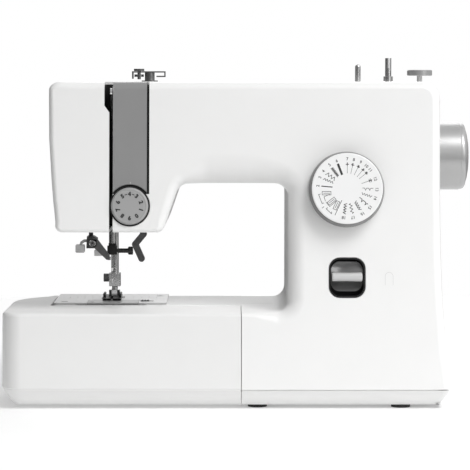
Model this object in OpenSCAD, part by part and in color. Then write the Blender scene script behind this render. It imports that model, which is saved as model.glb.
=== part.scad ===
// Household sewing machine with a free arm, an accessory tray and a horizontal bobbin.
// X runs to the right, -Y to the sewer, +Z up. The origin is on the table, under the middle.

/* [Body] */
// Overall width, from the base's left end to the end of the hand wheel
overall_w = 417.5; // [415:0.5:420]
// Depth of the base
body_d = 160; // [160:1:164]
// Height of the top cover
body_h = 285; // [285:1:288]
// Height of the bed
bed_h = 83.5; // [83:0.5:84]
// Lean of the front face, in degrees
lean = 7; // [6.5:0.5:7.5]
// Wall of the plastic covers
wall = 2.6; // [2.2:0.2:2.8]

/* [Needle] */
// Needle's place across the machine
needle_x = -118.5; // [-119:0.1:-118]
// Stroke of the needle bar
needle_stroke = 28; // [26:1:28]
// Lift of the presser foot
foot_lift = 6; // [5:0.5:6]

/* [Controls] */
// Radius of the stitch dial's face
dial_r = 30.9; // [29:0.1:31.5]
// Radius of the tension dial
tension_r = 16.2; // [15.8:0.1:16.2]
// Radius of the hand wheel
wheel_r = 30.7; // [29:0.1:32]

/* [Hidden] */
$fn = 64;
eps = 0.01;

// Places on the body
wheel_end = 207.5;
base_l = wheel_end - overall_w;
base_r = wheel_end - 24.5;
back_y = body_d / 2;
crease_z = 17;
sole_z = 3;
undercut = 13;
seam_x = -1;
split_y = 10;
arm_y = -6;
tray_gap = 1;
bed_t = 2.5;

column_r = base_r - 8.5;
throat_r = 11.5;
throat_x = 40.6;
arm_under_z = 195.6;
head_l = -169;
head_z = 153.5;
head_r = -67;
head_slant_x = -57;

// Slot and panel on the head
slot_l = -120;
slot_l_low = -115.7;
slot_r = -112.4;
panel_r = -82.8;
panel_gap = 2.2;
panel_z = 187;
panel_back = -14;
liner_back = -12;
tension_x = -97.6;
tension_z = 176.5;
tension_gap = 1.4;

// Shaft lines
shaft_y = 32;
shaft_z = 217;
low_z = 45;
shaft_d = 10;
belt_x = 60;
belt_w = 10;
belt_r = 12;
drive_x = 144;
drive_w = 8;
drive_r = 21;
motor_z = 52;
motor_y = 35;
motor_pulley_r = 7;
fit = 0.04;

// Needle and presser
bar_r = 3;
presser_x = -117;
presser_y = 48;
presser_r = 3.5;
plate_t = 1.8;
plate_z = bed_h + plate_t;
foot_y = 38;
foot_z = plate_z + 5.6;
crank_r = needle_stroke / 2;
lever_x = -100;
lever_z = 170;

// Hook
hook_y = 13.5;
hook_r = 15.5;

// Stitch dial and reverse lever
stitch_x = 91.6;
stitch_z = 191;
dial_h = 14;
dial_gap = 0.6;
reverse_x = 92;
reverse_z = 114.5;
reverse_w = 31.5;
reverse_h = 34.5;
reverse_deep = 15;

// Pins and fittings on top, and the lamp under the head
pin_y = 2;
spool_x = 104.7;
winder_x = 132;
stop_x = 160;
guide_x = -82;
guide_y = -6;
guide_screw_x = -91.5;
lamp_x = -82;

function front_y(z) = -body_d / 2 + (z - crease_z) * tan(lean);
function arc(c, r, a0, a1, n = 6) = [for (i = [0:n])
  let (a = a0 + (a1 - a0) * i / n) [c[0] + r * cos(a), c[1] + r * sin(a)]];

// ---- helpers ----
module along_z(z0, z1) { translate([0, 0, z0]) linear_extrude(z1 - z0) children(); }
module along_y(y0, y1) { translate([0, y1, 0]) rotate([90, 0, 0]) linear_extrude(y1 - y0) children(); }
module along_x(x0, x1) { translate([x0, 0, 0]) rotate([90, 0, 90]) linear_extrude(x1 - x0) children(); }
module block(x0, x1, y0, y1, z0, z1) { translate([x0, y0, z0]) cube([x1 - x0, y1 - y0, z1 - z0]); }
module rod_x(x0, x1, y, z, r) { translate([x0, y, z]) rotate([0, 90, 0]) cylinder(h = x1 - x0, r = r); }
module rod_y(y0, y1, x, z, r) { translate([x, y1, z]) rotate([90, 0, 0]) cylinder(h = y1 - y0, r = r); }
module rod_z(z0, z1, x, y, r) { translate([x, y, z0]) cylinder(h = z1 - z0, r = r); }
// Local +Z points out of the front face, square to it
module on_front(x, z) { translate([x, front_y(z), z]) rotate([90 - lean, 0, 0]) children(); }
module round_rect(w, h, r) { offset(r = r) square([w - 2 * r, h - 2 * r], center = true); }

// ---- outer shape ----
module body_outline() {
  top_r = 16;
  edge_r = 6;
  polygon(concat(
    [[0, crease_z], [base_r, crease_z], [column_r + 1, 96]],
    arc([column_r - top_r, body_h - top_r], top_r, 0, 90, 8),
    arc([head_l + edge_r, body_h - edge_r], edge_r, 90, 180),
    arc([head_l + 6 + edge_r, head_z + edge_r], edge_r, 180, 270),
    arc([head_r - edge_r - 1, head_z + edge_r], edge_r, 270, 340),
    [[head_slant_x, arm_under_z - 7]],
    [[head_slant_x + 2, arm_under_z - 2.5], [head_slant_x + 8, arm_under_z]],
    arc([throat_x - throat_r, arm_under_z - throat_r], throat_r, 90, 0, 8),
    arc([throat_x - throat_r, bed_h + throat_r], throat_r, 0, -90, 8),
    [[0, bed_h]]));
}

// Side view of the covers: leaning front, rounded top edges
module side_profile() {
  top_r = 9;
  intersection() {
    offset(r = top_r) offset(delta = -top_r)
      polygon([[front_y(-20), -20], [back_y, -20], [back_y, body_h], [front_y(body_h), body_h]]);
    translate([-body_d, crease_z]) square([2 * body_d, body_h]);
  }
}

module body_solid(inset = 0) {
  intersection() {
    along_y(-body_d, body_d) offset(delta = -inset) body_outline();
    along_x(-overall_w, overall_w) offset(delta = -inset) side_profile();
  }
}

module body_shell() {
  difference() {
    body_solid();
    body_solid(wall);
    block(wall + 3, base_r - wall - 3, -body_d / 2 + 6, back_y - 6, 0, crease_z + 2 * wall);
    block(-5, 2 * wall, 4, back_y - 6, 24, bed_h - 4);
  }
}

// Everything left of the thread slot
module slot_left_side() {
  along_y(-body_d, body_d)
    polygon([[-300, 0], [slot_l_low, 0], [slot_l_low, 258], [slot_l, 264], [slot_l, 400], [-300, 400]]);
}

// The opening for the tension panel
module panel_window(gap) {
  along_y(-body_d, panel_back)
    translate([slot_r - 1, panel_z]) square([panel_r + gap - slot_r + 1, 120]);
}
module dial_hole(r) { on_front(tension_x, tension_z) translate([0, 0, -12]) cylinder(h = 30, r = r); }

// The opening under the head, for the needle and presser bars
module needle_well() { block(-150, -86, 14, 56, head_z - 5, head_z + 6); }
// The slit that the lifter lever swings through
module lifter_slit() { block(-112, -42, 59, 68, head_z - 10, 184); }

// ---- covers ----
module front_cover() {
  color("whitesmoke") difference() {
    intersection() {
      body_shell();
      block(slot_r + eps, 300, -200, split_y, 0, 400);
    }
    panel_window(panel_gap);
    dial_hole(tension_r + tension_gap);
    needle_well();
    on_front(stitch_x, stitch_z) translate([0, 0, -20]) cylinder(h = 30, r = 5.05);
    along_y(-body_d, -40) translate([reverse_x, reverse_z]) round_rect(reverse_w, reverse_h, 9.5);
    rod_z(270, 300, spool_x, pin_y, 2.9);
    winder_slot();
    rod_z(270, 300, stop_x, 0, 2.5);
    rod_z(270, 300, guide_x, guide_y, 1.6);
    rod_z(140, 170, lamp_x, 0, 7.1);
    side_sockets();
  }
}
// The winder's post shifts along this slot, to the right
module winder_slot() {
  hull() for (x = [winder_x, winder_x + 5]) rod_z(270, 300, x, pin_y, 3.1);
}

module rear_cover() {
  color("whitesmoke") difference() {
    union() {
      intersection() {
        body_shell();
        block(slot_l, 300, split_y, 200, 0, 400);
      }
      intersection() {
        block(-68, 68, 63, back_y - eps, 203, body_h - eps);
        body_solid();
      }
    }
    block(-64, 64, 65.5, back_y + 5, 206, body_h + 5);
    rod_x(-75, 75, 73, 266, 2.55);
    needle_well();
    lifter_slit();
    side_sockets();
    rod_x(170, base_r + 5, shaft_y, shaft_z, 6);
    for (i = [0:8]) {
      block(88 + 7 * i, 91 + 7 * i, back_y - 6, back_y + 2, 40, 76);
      block(96 + 5.5 * i, 98.6 + 5.5 * i, back_y - 6, back_y + 2, 230, 252);
    }
    for (p = cover_screw_places) rod_y(back_y - 1.6, back_y + 2, p[0], p[1], 4.6);
    for (p = cover_screw_places) rod_y(back_y - 6, back_y, p[0], p[1], 1.8);
  }
}
cover_screw_places = [[-105, 262], [30, 30], [165, 262], [165, 120], [60, 120]];

module cover_screws() {
  color("silver") for (p = cover_screw_places) difference() {
    union() {
      rod_y(back_y - 1.6, back_y - 0.2, p[0], p[1], 3.4);
      rod_y(back_y - 14, back_y - 1.6, p[0], p[1], 1.8);
    }
    block(p[0] - 2.4, p[0] + 2.4, back_y - 1, back_y, p[1] - 0.4, p[1] + 0.4);
    block(p[0] - 0.4, p[0] + 0.4, back_y - 1, back_y, p[1] - 2.4, p[1] + 2.4);
  }
}

module face_cover() {
  color("white") difference() {
    union() {
      intersection() {
        body_solid();
        slot_left_side();
        block(-300, 300, -200, split_y, 0, 400);
      }
      intersection() {
        body_solid();
        block(-300, slot_l, split_y - eps, 200, 0, 400);
      }
    }
    body_solid(wall);
    needle_well();
  }
}

// Pan under the right part, with a strip that carries the free arm
module base_plate() {
  color("whitesmoke") difference() {
    union() {
      intersection() {
        along_y(-body_d, body_d)
          polygon([[0, crease_z], [base_r, crease_z], [base_r - undercut, sole_z], [0, sole_z]]);
        base_side();
      }
      block(-60, 0, 5, 70, sole_z, 20);
    }
    block(6, base_r - undercut - 4, -body_d / 2 + undercut + 4, back_y - undercut - 4, 0, crease_z - 3);
    block(-56, 2, 9, 66, 0, crease_z - 3);
  }
}
module base_side() {
  along_x(-overall_w, overall_w)
    polygon([[-body_d / 2, crease_z], [back_y, crease_z], [back_y - undercut, sole_z],
      [-body_d / 2 + undercut, sole_z]]);
}

feet_places = [[140, -58], [140, 58], [14, -56], [-45, 58], [-45, 18]];
module rubber_feet() {
  color("dimgray") for (p = feet_places) difference() {
    rod_z(0, sole_z, p[0], p[1], 8.5);
    rod_z(-1, 1.4, p[0], p[1], 3);
  }
}

module free_arm_cover() {
  color("whitesmoke") difference() {
    along_z(20, bed_h) free_arm_plan(0);
    along_z(20 + bed_t, bed_h - bed_t) free_arm_plan(-bed_t);
    block(-4, 2, 4, back_y - 6, 24, bed_h - 4);
    block(-150, -86, arm_y + bed_t, 64, bed_h - 5, bed_h + 1);
    for (p = plate_screw_places) rod_z(bed_h - 6, bed_h + 1, p[0], p[1], 1.6);
  }
}
module free_arm_plan(grow) {
  offset(delta = grow) hull() {
    translate([-10, arm_y]) square([10, back_y - arm_y]);
    translate([-161, arm_y + 10]) circle(r = 10);
    translate([-157, back_y - 14]) circle(r = 14);
  }
}

// ---- accessory tray ----
module tray_plan(inset) {
  round_r = 56;
  offset(delta = -inset) polygon(concat(
    [[seam_x, -body_d / 2 - 1], [seam_x, arm_y - tray_gap], [-172, arm_y - tray_gap], [-172, back_y]],
    [[-178, back_y]],
    arc([base_l + round_r, 24], round_r, 122, 180, 8),
    arc([base_l + 18, -body_d / 2 + 17], 18, 180, 270, 6)));
}
module tray_solid(inset) {
  intersection() {
    along_z(sole_z + inset, bed_h - inset) tray_plan(inset);
    along_x(-overall_w, overall_w) offset(delta = -inset) polygon([[front_y(body_h), body_h],
      [front_y(crease_z), crease_z], [-body_d / 2 + undercut, sole_z], [back_y - 6, sole_z],
      [back_y, crease_z], [back_y, body_h]]);
    along_y(-body_d, body_d) offset(delta = -inset)
      polygon([[seam_x, body_h], [base_l, body_h], [base_l, crease_z], [base_l + undercut, sole_z],
        [seam_x, sole_z]]);
  }
}
module accessory_tray() {
  color("whitesmoke") difference() {
    tray_solid(0);
    tray_solid(wall);
    block(-166, seam_x - 8, arm_y - 8, arm_y + 1, sole_z + 4, bed_h - 6);
  }
}

// ---- frame ----
module frame_outline() {
  polygon([[-78, 24], [170, 24], [170, 270], [-100, 270], [-100, 204], [50, 204], [50, 74], [-78, 74]]);
}
module cast_frame() {
  color("silver") difference() {
    union() {
      along_y(16, 60) difference() {
        frame_outline();
        offset(delta = -4) frame_outline();
      }
      along_y(56, 60) frame_outline();
      block(-160, -78, 4, 72, 24, 29);
      block(-96, -88, 24, 40, 29, 55);
      block(54, 56, 22, 56, 28, 62);
      block(80, 84, 14, 56, 28, 74);
      block(20, 40, 16, 60, crease_z, 24);
      block(140, 160, 16, 60, crease_z, 24);
    }
    rod_x(-101, -95, shaft_y, shaft_z, 8);
    rod_x(165, 171, shaft_y, shaft_z, 8);
    rod_x(-97, -87, shaft_y, low_z, 7);
    rod_x(-79, -70, shaft_y, low_z, 9);
    rod_x(53, 61, shaft_y, low_z, 7);
    rod_x(79, 85, motor_y, motor_z, 9);
    rod_z(20, 30, needle_x, hook_y, 5);
    for (x = [-40, 0, 100, 140]) rod_y(50, 61, x, 240, 9);
    for (z = [110, 150, 190]) rod_y(50, 61, 140, z, 11);
  }
}

module bush(x0, x1, z, outer, inner) {
  difference() {
    rod_x(x0, x1, shaft_y, z, outer);
    rod_x(x0 - 1, x1 + 1, shaft_y, z, inner);
  }
}
module shaft_bushes() {
  color("goldenrod") {
    bush(-100, -90, shaft_z, 8, shaft_d / 2 + fit);
    bush(160, 170, shaft_z, 8, shaft_d / 2 + fit);
    bush(-96, -88, low_z, 7, 4 + fit);
    bush(54, 56, low_z, 7, 4 + fit);
    difference() {
      rod_z(29, 36, needle_x, hook_y, 7);
      rod_z(28, 37, needle_x, hook_y, 4 + fit);
    }
  }
}

// ---- main shaft ----
module main_shaft() { color("lightgray") rod_x(-103, 200, shaft_y, shaft_z, shaft_d / 2); }

module toothed_disc(r, teeth, depth) {
  difference() {
    circle(r = r);
    for (i = [0:teeth - 1]) rotate(360 * i / teeth) translate([r, 0]) circle(r = depth, $fn = 6);
  }
}
module shaft_pulleys() {
  color("dimgray") difference() {
    union() {
      along_x(belt_x, belt_x + belt_w) translate([shaft_y, shaft_z]) toothed_disc(belt_r, 24, 0.8);
      rod_x(belt_x - 2, belt_x, shaft_y, shaft_z, belt_r + 2.4);
      rod_x(belt_x + belt_w, belt_x + belt_w + 6, shaft_y, shaft_z, 9);
      rod_x(drive_x, drive_x + drive_w, shaft_y, shaft_z, drive_r);
      rod_x(drive_x - 1.5, drive_x, shaft_y, shaft_z, drive_r + 2.4);
      rod_x(drive_x + drive_w, drive_x + drive_w + 1.5, shaft_y, shaft_z, drive_r + 2.4);
    }
    rod_x(0, 200, shaft_y, shaft_z, shaft_d / 2);
  }
}

module hand_wheel() {
  wheel_x = column_r + 1.3;
  wheel_w = wheel_end - wheel_x;
  dome = 5;
  color("silver") difference() {
    translate([wheel_x, shaft_y, shaft_z]) rotate([0, 90, 0]) rotate_extrude($fn = 96)
      polygon(concat([[0, 0], [wheel_r - 2, 0], [wheel_r, 2]],
        arc([wheel_r - dome, wheel_w - dome - 1], dome, 0, 80, 6), [[0, wheel_w]]));
    rod_x(wheel_x - 1, 200, shaft_y, shaft_z, shaft_d / 2);
    difference() {
      rod_x(wheel_x - 1, wheel_x + 12, shaft_y, shaft_z, wheel_r - 4);
      rod_x(wheel_x - 2, wheel_x + 13, shaft_y, shaft_z, 12);
    }
  }
}

module crank() {
  color("gray") union() {
    along_x(-109, -103) difference() {
      translate([shaft_y, shaft_z]) circle(r = 19);
      for (s = [-1, 1]) translate([shaft_y + s * 17, shaft_z + 15]) circle(r = 11);
    }
    rod_x(-111.2, -109, shaft_y, shaft_z + crank_r, 3);
  }
}

module needle_bar_link() {
  low = shaft_z + crank_r - 27;
  color("silver") difference() {
    union() {
      along_x(-115.2, -111.6) hull() {
        translate([shaft_y, shaft_z + crank_r]) circle(r = 6.5, $fn = 32);
        translate([shaft_y, low]) circle(r = 6, $fn = 32);
      }
      block(needle_x - 5, -115.2, shaft_y - 5, shaft_y + 5, low - 5, low + 5);
    }
    rod_z(low - 8, low + 8, needle_x, shaft_y, bar_r);
    rod_x(-116, -110, shaft_y, shaft_z + crank_r, 3.1);
  }
}

module take_up_lever() {
  pivot = [2, 238];
  tip = [-44, 276];
  x0 = slot_r - 2.6;
  x1 = slot_r - 0.8;
  color("silver") difference() {
    union() {
      along_x(x0, x1) difference() {
        union() {
          hull() {
            translate(pivot) circle(r = 6, $fn = 32);
            translate([-20, 252]) circle(r = 4, $fn = 32);
          }
          hull() {
            translate([-20, 252]) circle(r = 4, $fn = 32);
            translate(tip) circle(r = 3, $fn = 32);
          }
        }
        translate(tip) circle(r = 1.3, $fn = 32);
        translate(pivot) circle(r = 2.5 + fit, $fn = 64);
      }
    }
  }
}

module needle_bar_frame() {
  color("silver") difference() {
    union() {
      block(-135, -100, 56, 60, 157, 266);
      block(-135, -90, 56, 60, 157, 182);
      block(-128, -106, 24, 56, 157, 167);
      block(-142, -128, 26, 56, 157, 167);
      block(-128, -106, 24, 56, 242, 250);
      block(-128, -124, -6, 30, 230, 250);
      rod_x(-124, slot_r + 0.2, 2, 238, 2.5);
      rod_y(60, 67.5, lever_x, lever_z, 3);
    }
    for (z = [150, 235]) rod_z(z, z + 30, needle_x, shaft_y, bar_r + fit);
    for (z = [150, 235]) rod_z(z, z + 30, presser_x, presser_y, presser_r + fit);
    rod_z(150, 180, -138, shaft_y, 2 + fit);
  }
}

// ---- needle bar ----
module needle_bar() { color("lightgray") rod_z(133, 276, needle_x, shaft_y, bar_r); }

module needle_clamp() {
  color("dimgray") difference() {
    union() {
      block(needle_x - 4.4, needle_x + 4.2, shaft_y - 4, shaft_y + 3.5, 126.5, 134.5);
      rod_z(134.5, 137, needle_x, shaft_y, 3.4);
    }
    rod_z(133, 140, needle_x, shaft_y, bar_r);
    rod_z(120, 134, needle_x, shaft_y, 1);
    rod_x(needle_x + 0.4, needle_x + 6, shaft_y, 130, 1.54);
  }
}

module knob_x(x0, x1, y, z, r) {
  along_x(x0, x1) translate([y, z]) toothed_disc(r, 18, 0.35);
}
module clamp_screw() {
  color("dimgray") {
    rod_x(needle_x + 1.1, needle_x + 5, shaft_y, 130, 1.5);
    rod_x(needle_x + 5, needle_x + 8, shaft_y, 130, 2.2);
    knob_x(needle_x + 8, -99.5, shaft_y, 130, 3.7);
  }
}

module needle() {
  tip_z = 100;
  color("lightgray") difference() {
    union() {
      rod_z(114, 133, needle_x, shaft_y, 1);
      translate([needle_x, shaft_y, 111]) cylinder(h = 3, r1 = 0.6, r2 = 1, $fn = 32);
      rod_z(tip_z + 4, 111, needle_x, shaft_y, 0.6);
      translate([needle_x, shaft_y, tip_z]) cylinder(h = 4, r1 = 0.1, r2 = 0.6, $fn = 32);
    }
    rod_y(shaft_y - 2, shaft_y + 2, needle_x, tip_z + 5.5, 0.2);
  }
}

// ---- presser ----
module presser_bar() { color("lightgray") rod_z(98, 262, presser_x, presser_y, presser_r); }

module coil(r, wire, z0, z1, turns) {
  sides = 6;
  steps = turns * 12;
  pts = [for (i = [0:steps]) for (j = [0:sides - 1])
    let (a = 360 * turns * i / steps, b = 360 * j / sides, q = r + wire * cos(b))
    [q * cos(a), q * sin(a), z0 + (z1 - z0) * i / steps + wire * sin(b)]];
  side_faces = [for (i = [0:steps - 1]) for (j = [0:sides - 1])
    let (k = (j + 1) % sides, p = i * sides, q = (i + 1) * sides)
    [[p + j, q + j, q + k], [p + j, q + k, p + k]]];
  faces = concat([for (two = side_faces) for (f = two) f],
    [for (j = [1:sides - 2]) [0, j, j + 1]],
    [for (j = [1:sides - 2]) [steps * sides, steps * sides + j + 1, steps * sides + j]]);
  polyhedron(pts, faces);
}
module presser_spring() {
  color("silver") translate([presser_x, presser_y, 0]) coil(4.9, 0.75, 191.5, 240.5, 7);
}

module presser_bracket() {
  // just clear of the lever's cam when the foot is all the way up
  under = lever_z + 5.35 - foot_lift;
  color("gray") difference() {
    union() {
      block(presser_x - 6, presser_x + 6, presser_y - 6, presser_y + 6, under + 10, under + 20);
      block(presser_x + 6, -84, presser_y - 6, presser_y + 6, under + 14, under + 20);
      block(-91.5, -84, presser_y + 6, 66, under + 14, under + 20);
      block(-91.5, -84, 61, 66, under, under + 14);
    }
    rod_z(150, 220, presser_x, presser_y, presser_r);
  }
}

module foot_holder() {
  color("silver") difference() {
    union() {
      block(presser_x - 5.3, presser_x + 5, presser_y - 5.5, presser_y + 5.5, 96, 108);
      along_x(presser_x - 2.5, presser_x + 2.5)
        polygon([[foot_y - 2.2, foot_z - 1.2], [foot_y + 1, foot_z - 2.2], [foot_y + 4, foot_z],
          [presser_y + 3, 96], [presser_y - 5, 96], [foot_y - 2.2, foot_z + 2.2]]);
    }
    rod_z(98, 110, presser_x, presser_y, presser_r);
    rod_x(presser_x - 7, presser_x - 3, presser_y, 103.6, 1.54);
    rod_x(presser_x - 4, presser_x + 4, foot_y, foot_z, 1.2 + fit);
  }
}

module foot_screw() {
  color("silver") {
    rod_x(presser_x - 5.6, presser_x - presser_r - 0.1, presser_y, 103.6, 1.5);
    knob_x(presser_x - 10.5, presser_x - 5.6, presser_y, 103.6, 3.8);
  }
}

module presser_foot() {
  sole = plate_z + 0.05;
  half = 8.4;
  color("dimgray") difference() {
    union() {
      // the heel is relieved, so that the toes can tip up over a seam
      along_x(needle_x - half, needle_x + half)
        polygon([[18.5, sole + 1.8], [20.5, sole], [foot_y, sole], [foot_y + 8, sole + 1.42],
          [foot_y + 8, sole + 2.9], [foot_y - 10, sole + 2.9], [24, sole + 2.2]]);
      for (s = [-1, 1]) along_x(presser_x + s * 3.8 - 1.1, presser_x + s * 3.8 + 1.1)
        polygon([[foot_y - 3.2, sole + 2], [foot_y + 5, sole + 2], [foot_y + 2.6, foot_z + 2.2],
          [foot_y - 2.2, foot_z + 2.2]]);
      rod_x(presser_x - 3, presser_x + 3, foot_y, foot_z, 1.2);
    }
    block(needle_x - 3.5, needle_x + 3.5, shaft_y - 3.2, shaft_y + 2.4, sole - 1, sole + 4);
    block(needle_x - 1.1, needle_x + 1.1, 10, shaft_y, sole - 1, sole + 4);
  }
}

module lifter_lever() {
  pts = [[0, 0], [9, -27], [1, -36.5], [7, -50]];
  color("dimgray") difference() {
    translate([lever_x, 66, lever_z]) rotate([90, 0, 0]) linear_extrude(5) union() {
      circle(r = 5);
      hull() {
        circle(r = 5, $fn = 32);
        rotate(-60) translate([8, 0]) circle(r = 5, $fn = 32);
      }
      for (i = [0:2]) hull() {
        translate(pts[i]) circle(r = 3, $fn = 24);
        translate(pts[i + 1]) circle(r = 3, $fn = 24);
      }
    }
    rod_y(50, 70, lever_x, lever_z, 3 + fit);
  }
}

module needle_threader() {
  color("dimgray") {
    rod_z(140, 175, -138, shaft_y, 2);
    block(-142, -134, 20, 35, 131, 140);
    block(-152, -142, 22, 27, 132.5, 139);
    along_y(20, 23) polygon([[-140, 138], [-134, 138], [-121, 127], [-119, 122], [-122, 122], [-140, 132]]);
    block(-122, -119, 23, 26.5, 122, 125);
    rod_y(17.5, 20, -138, 136.5, 2.9);
  }
}

// ---- needle plate and bobbin ----
plate_screw_places = [[-161, 10], [-76, 60]];
feed_rows = [-127, -118.5, -110];
module needle_plate() {
  color("silver") difference() {
    along_z(bed_h, plate_z) translate([-118.9, 38]) round_rect(102.2, 78, 3);
    block(-140, -93, -3, 25.4, bed_h - 1, plate_z + 1);
    block(needle_x - 3.4, needle_x + 3.4, shaft_y - 1, shaft_y + 1, bed_h - 1, plate_z + 1);
    for (x = feed_rows) block(x - 1.9, x + 1.9, 35.5, 54, bed_h - 1, plate_z + 1);
    block(-92, -80, 11.4, 18.6, bed_h - 1, plate_z + 1);
    for (p = plate_screw_places) rod_z(bed_h - 1, plate_z + 1, p[0], p[1], 3.2);
    for (i = [1:4]) for (s = [-1, 1])
      block(needle_x + s * (12 + 7 * i) - 0.3, needle_x + s * (12 + 7 * i) + 0.3, 34, 50,
        plate_z - 0.3, plate_z + 1);
  }
}
module plate_screws() {
  color("silver") for (p = plate_screw_places) difference() {
    union() {
      rod_z(bed_h, plate_z - 0.2, p[0], p[1], 3.1);
      rod_z(bed_h - 6, bed_h, p[0], p[1], 1.6);
    }
    block(p[0] - 2.6, p[0] + 2.6, p[1] - 0.4, p[1] + 0.4, plate_z - 1, plate_z);
  }
}

module bobbin_cover() {
  color("lightgray") difference() {
    block(-139.8, -93.2, -1, 25.2, bed_h + 0.2, plate_z);
    for (i = [0:2]) block(-137, -134, 2 + 3 * i, 3.2 + 3 * i, plate_z - 0.5, plate_z + 1);
  }
}

module release_button() {
  color("dimgray") union() {
    block(-91.8, -84, 11.5, 18.5, bed_h + 0.1, plate_z + 0.6);
    for (i = [0:2]) block(-90.5 + 2.4 * i, -89.5 + 2.4 * i, 12, 18, plate_z + 0.6, plate_z + 1);
  }
}

module hook() {
  gap = 0.4;
  color("silver") difference() {
    union() {
      rod_z(57, 78, needle_x, hook_y, hook_r);
      rod_z(30, 57, needle_x, hook_y, 4);
      translate([needle_x, hook_y, 39]) linear_extrude(12) toothed_disc(6.8 - gap, 12, 0.8);
    }
    rod_z(60, 80, needle_x, hook_y, hook_r - 1.8);
    intersection() {
      rod_z(68, 80, needle_x, hook_y, hook_r + 1);
      block(needle_x + 4, needle_x + 30, hook_y - 12, hook_y + 4, 68, 80);
    }
  }
}
module bobbin_case() {
  color("dimgray") difference() {
    union() {
      rod_z(60.3, 77, needle_x, hook_y, hook_r - 2.2);
      block(needle_x - hook_r - 3.5, needle_x - hook_r + 4.2, hook_y - 3, hook_y + 3, 78.3, 80);
      block(needle_x - hook_r + 2.2, needle_x - hook_r + 4.2, hook_y - 3, hook_y + 3, 76, 80);
    }
    rod_z(62, 79, needle_x, hook_y, 11.2);
  }
}
module bobbin() {
  color("lightblue") difference() {
    union() {
      rod_z(62.3, 63.3, needle_x, hook_y, 10.2);
      rod_z(73.3, 74.3, needle_x, hook_y, 10.2);
      rod_z(62.3, 74.3, needle_x, hook_y, 5);
    }
    rod_z(62, 75, needle_x, hook_y, 3);
    for (i = [0:5]) rod_z(73, 75, needle_x + 7.5 * cos(60 * i), hook_y + 7.5 * sin(60 * i), 1);
  }
}

module lower_shaft() {
  color("lightgray") {
    rod_x(-131, 76, shaft_y, low_z, 4);
    difference() {
      union() {
        along_x(-124, -113) translate([shaft_y, low_z]) toothed_disc(11.7, 24, 0.8);
        along_x(belt_x, belt_x + belt_w) translate([shaft_y, low_z]) toothed_disc(belt_r, 24, 0.8);
        rod_x(belt_x - 2, belt_x, shaft_y, low_z, belt_r + 2.4);
      }
      rod_x(-125, 80, shaft_y, low_z, 4);
    }
  }
}

module belt(x0, x1, y0, z0, r0, y1, z1, r1, gap, t) {
  color("dimgray") along_x(x0, x1) difference() {
    hull() {
      translate([y0, z0]) circle(r = r0 + gap + t);
      translate([y1, z1]) circle(r = r1 + gap + t);
    }
    hull() {
      translate([y0, z0]) circle(r = r0 + gap);
      translate([y1, z1]) circle(r = r1 + gap);
    }
  }
}
module timing_belt() {
  belt(belt_x + 0.5, belt_x + belt_w - 0.5, shaft_y, low_z, belt_r, shaft_y, shaft_z, belt_r, 0.3, 1.4);
}
module motor_belt() {
  belt(drive_x + 1, drive_x + drive_w - 1, motor_y, motor_z, motor_pulley_r,
    shaft_y, shaft_z, drive_r, 0.3, 1.6);
}

module motor() {
  color("gray") difference() {
    union() {
      rod_x(84, 136, motor_y, motor_z, 20);
      rod_x(136, 140, motor_y, motor_z, 9);
    }
    rod_x(135, 141, motor_y, motor_z, 2.5 + fit);
    for (i = [0:5]) rod_x(83, 86, motor_y + 14 * cos(60 * i), motor_z + 14 * sin(60 * i), 2);
  }
}
module motor_pulley() {
  color("dimgray") union() {
    rod_x(135.2, drive_x - 1, motor_y, motor_z, 2.5);
    rod_x(drive_x - 1, drive_x + drive_w + 1, motor_y, motor_z, 2.5);
    difference() {
      union() {
        rod_x(drive_x, drive_x + drive_w, motor_y, motor_z, motor_pulley_r);
        rod_x(drive_x + drive_w, drive_x + drive_w + 1.5, motor_y, motor_z, motor_pulley_r + 2);
      }
      rod_x(drive_x - 2, drive_x + drive_w + 3, motor_y, motor_z, 2.5);
    }
  }
}

module feed_dog() {
  color("silver") difference() {
    union() {
      block(-129.5, -107.5, 37.5, 52, 70, 80);
      block(-124, -113, 40, 70, 62, 70);
      for (x = feed_rows) block(x - 1.3, x + 1.3, 38, 51.5, 80, plate_z - 0.6);
    }
    for (i = [0:8]) along_x(-130, -107)
      translate([38.6 + 1.5 * i, plate_z - 0.2]) circle(r = 0.6, $fn = 4);
  }
}

// ---- head front ----
module tension_panel() {
  color("darkgray") difference() {
    intersection() {
      body_solid();
      along_y(-body_d, panel_back)
        translate([slot_r, panel_z]) square([panel_r - slot_r, 120]);
    }
    body_solid(wall);
    dial_hole(tension_r + tension_gap + 1.4);
  }
}

module slot_liner() {
  skin = 1.2;
  color("#202020") {
    difference() {
      intersection() {
        body_solid(wall + eps);
        block(slot_l - skin, slot_r + skin, -200, liner_back, head_z, 400);
      }
      block(slot_l, slot_r, -200, liner_back - skin, 0, 300);
      dial_hole(tension_r + tension_gap);
      block(slot_r - 3.4, slot_r, -200, 0, 150, 281);
    }
    difference() {
      intersection() {
        body_solid(wall + eps);
        block(slot_r + skin, panel_r + 4, -200, panel_back, panel_z - 2, 400);
      }
      body_solid(wall + skin);
      dial_hole(tension_r + tension_gap);
    }
    on_front(tension_x, tension_z) difference() {
      translate([0, 0, -10]) cylinder(h = 9.6, r = tension_r + tension_gap - eps);
      translate([0, 0, -8.6]) cylinder(h = 10, r = tension_r + 0.4);
      translate([0, 0, -12]) cylinder(h = 10, r = 3.1);
    }
  }
}

module tension_dial() {
  color("gray") on_front(tension_x, tension_z) difference() {
    union() {
      translate([0, 0, -8]) cylinder(h = 8, r = tension_r);
      cylinder(h = 1.3, r1 = tension_r, r2 = tension_r - 1.3);
    }
    translate([0, 0, -9]) cylinder(h = 6, r = 3 + fit);
    for (i = [0:9]) rotate(36 * i) translate([tension_r - 2.6, 0, 1]) cylinder(h = 1, r = 0.5, $fn = 16);
  }
}

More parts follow.
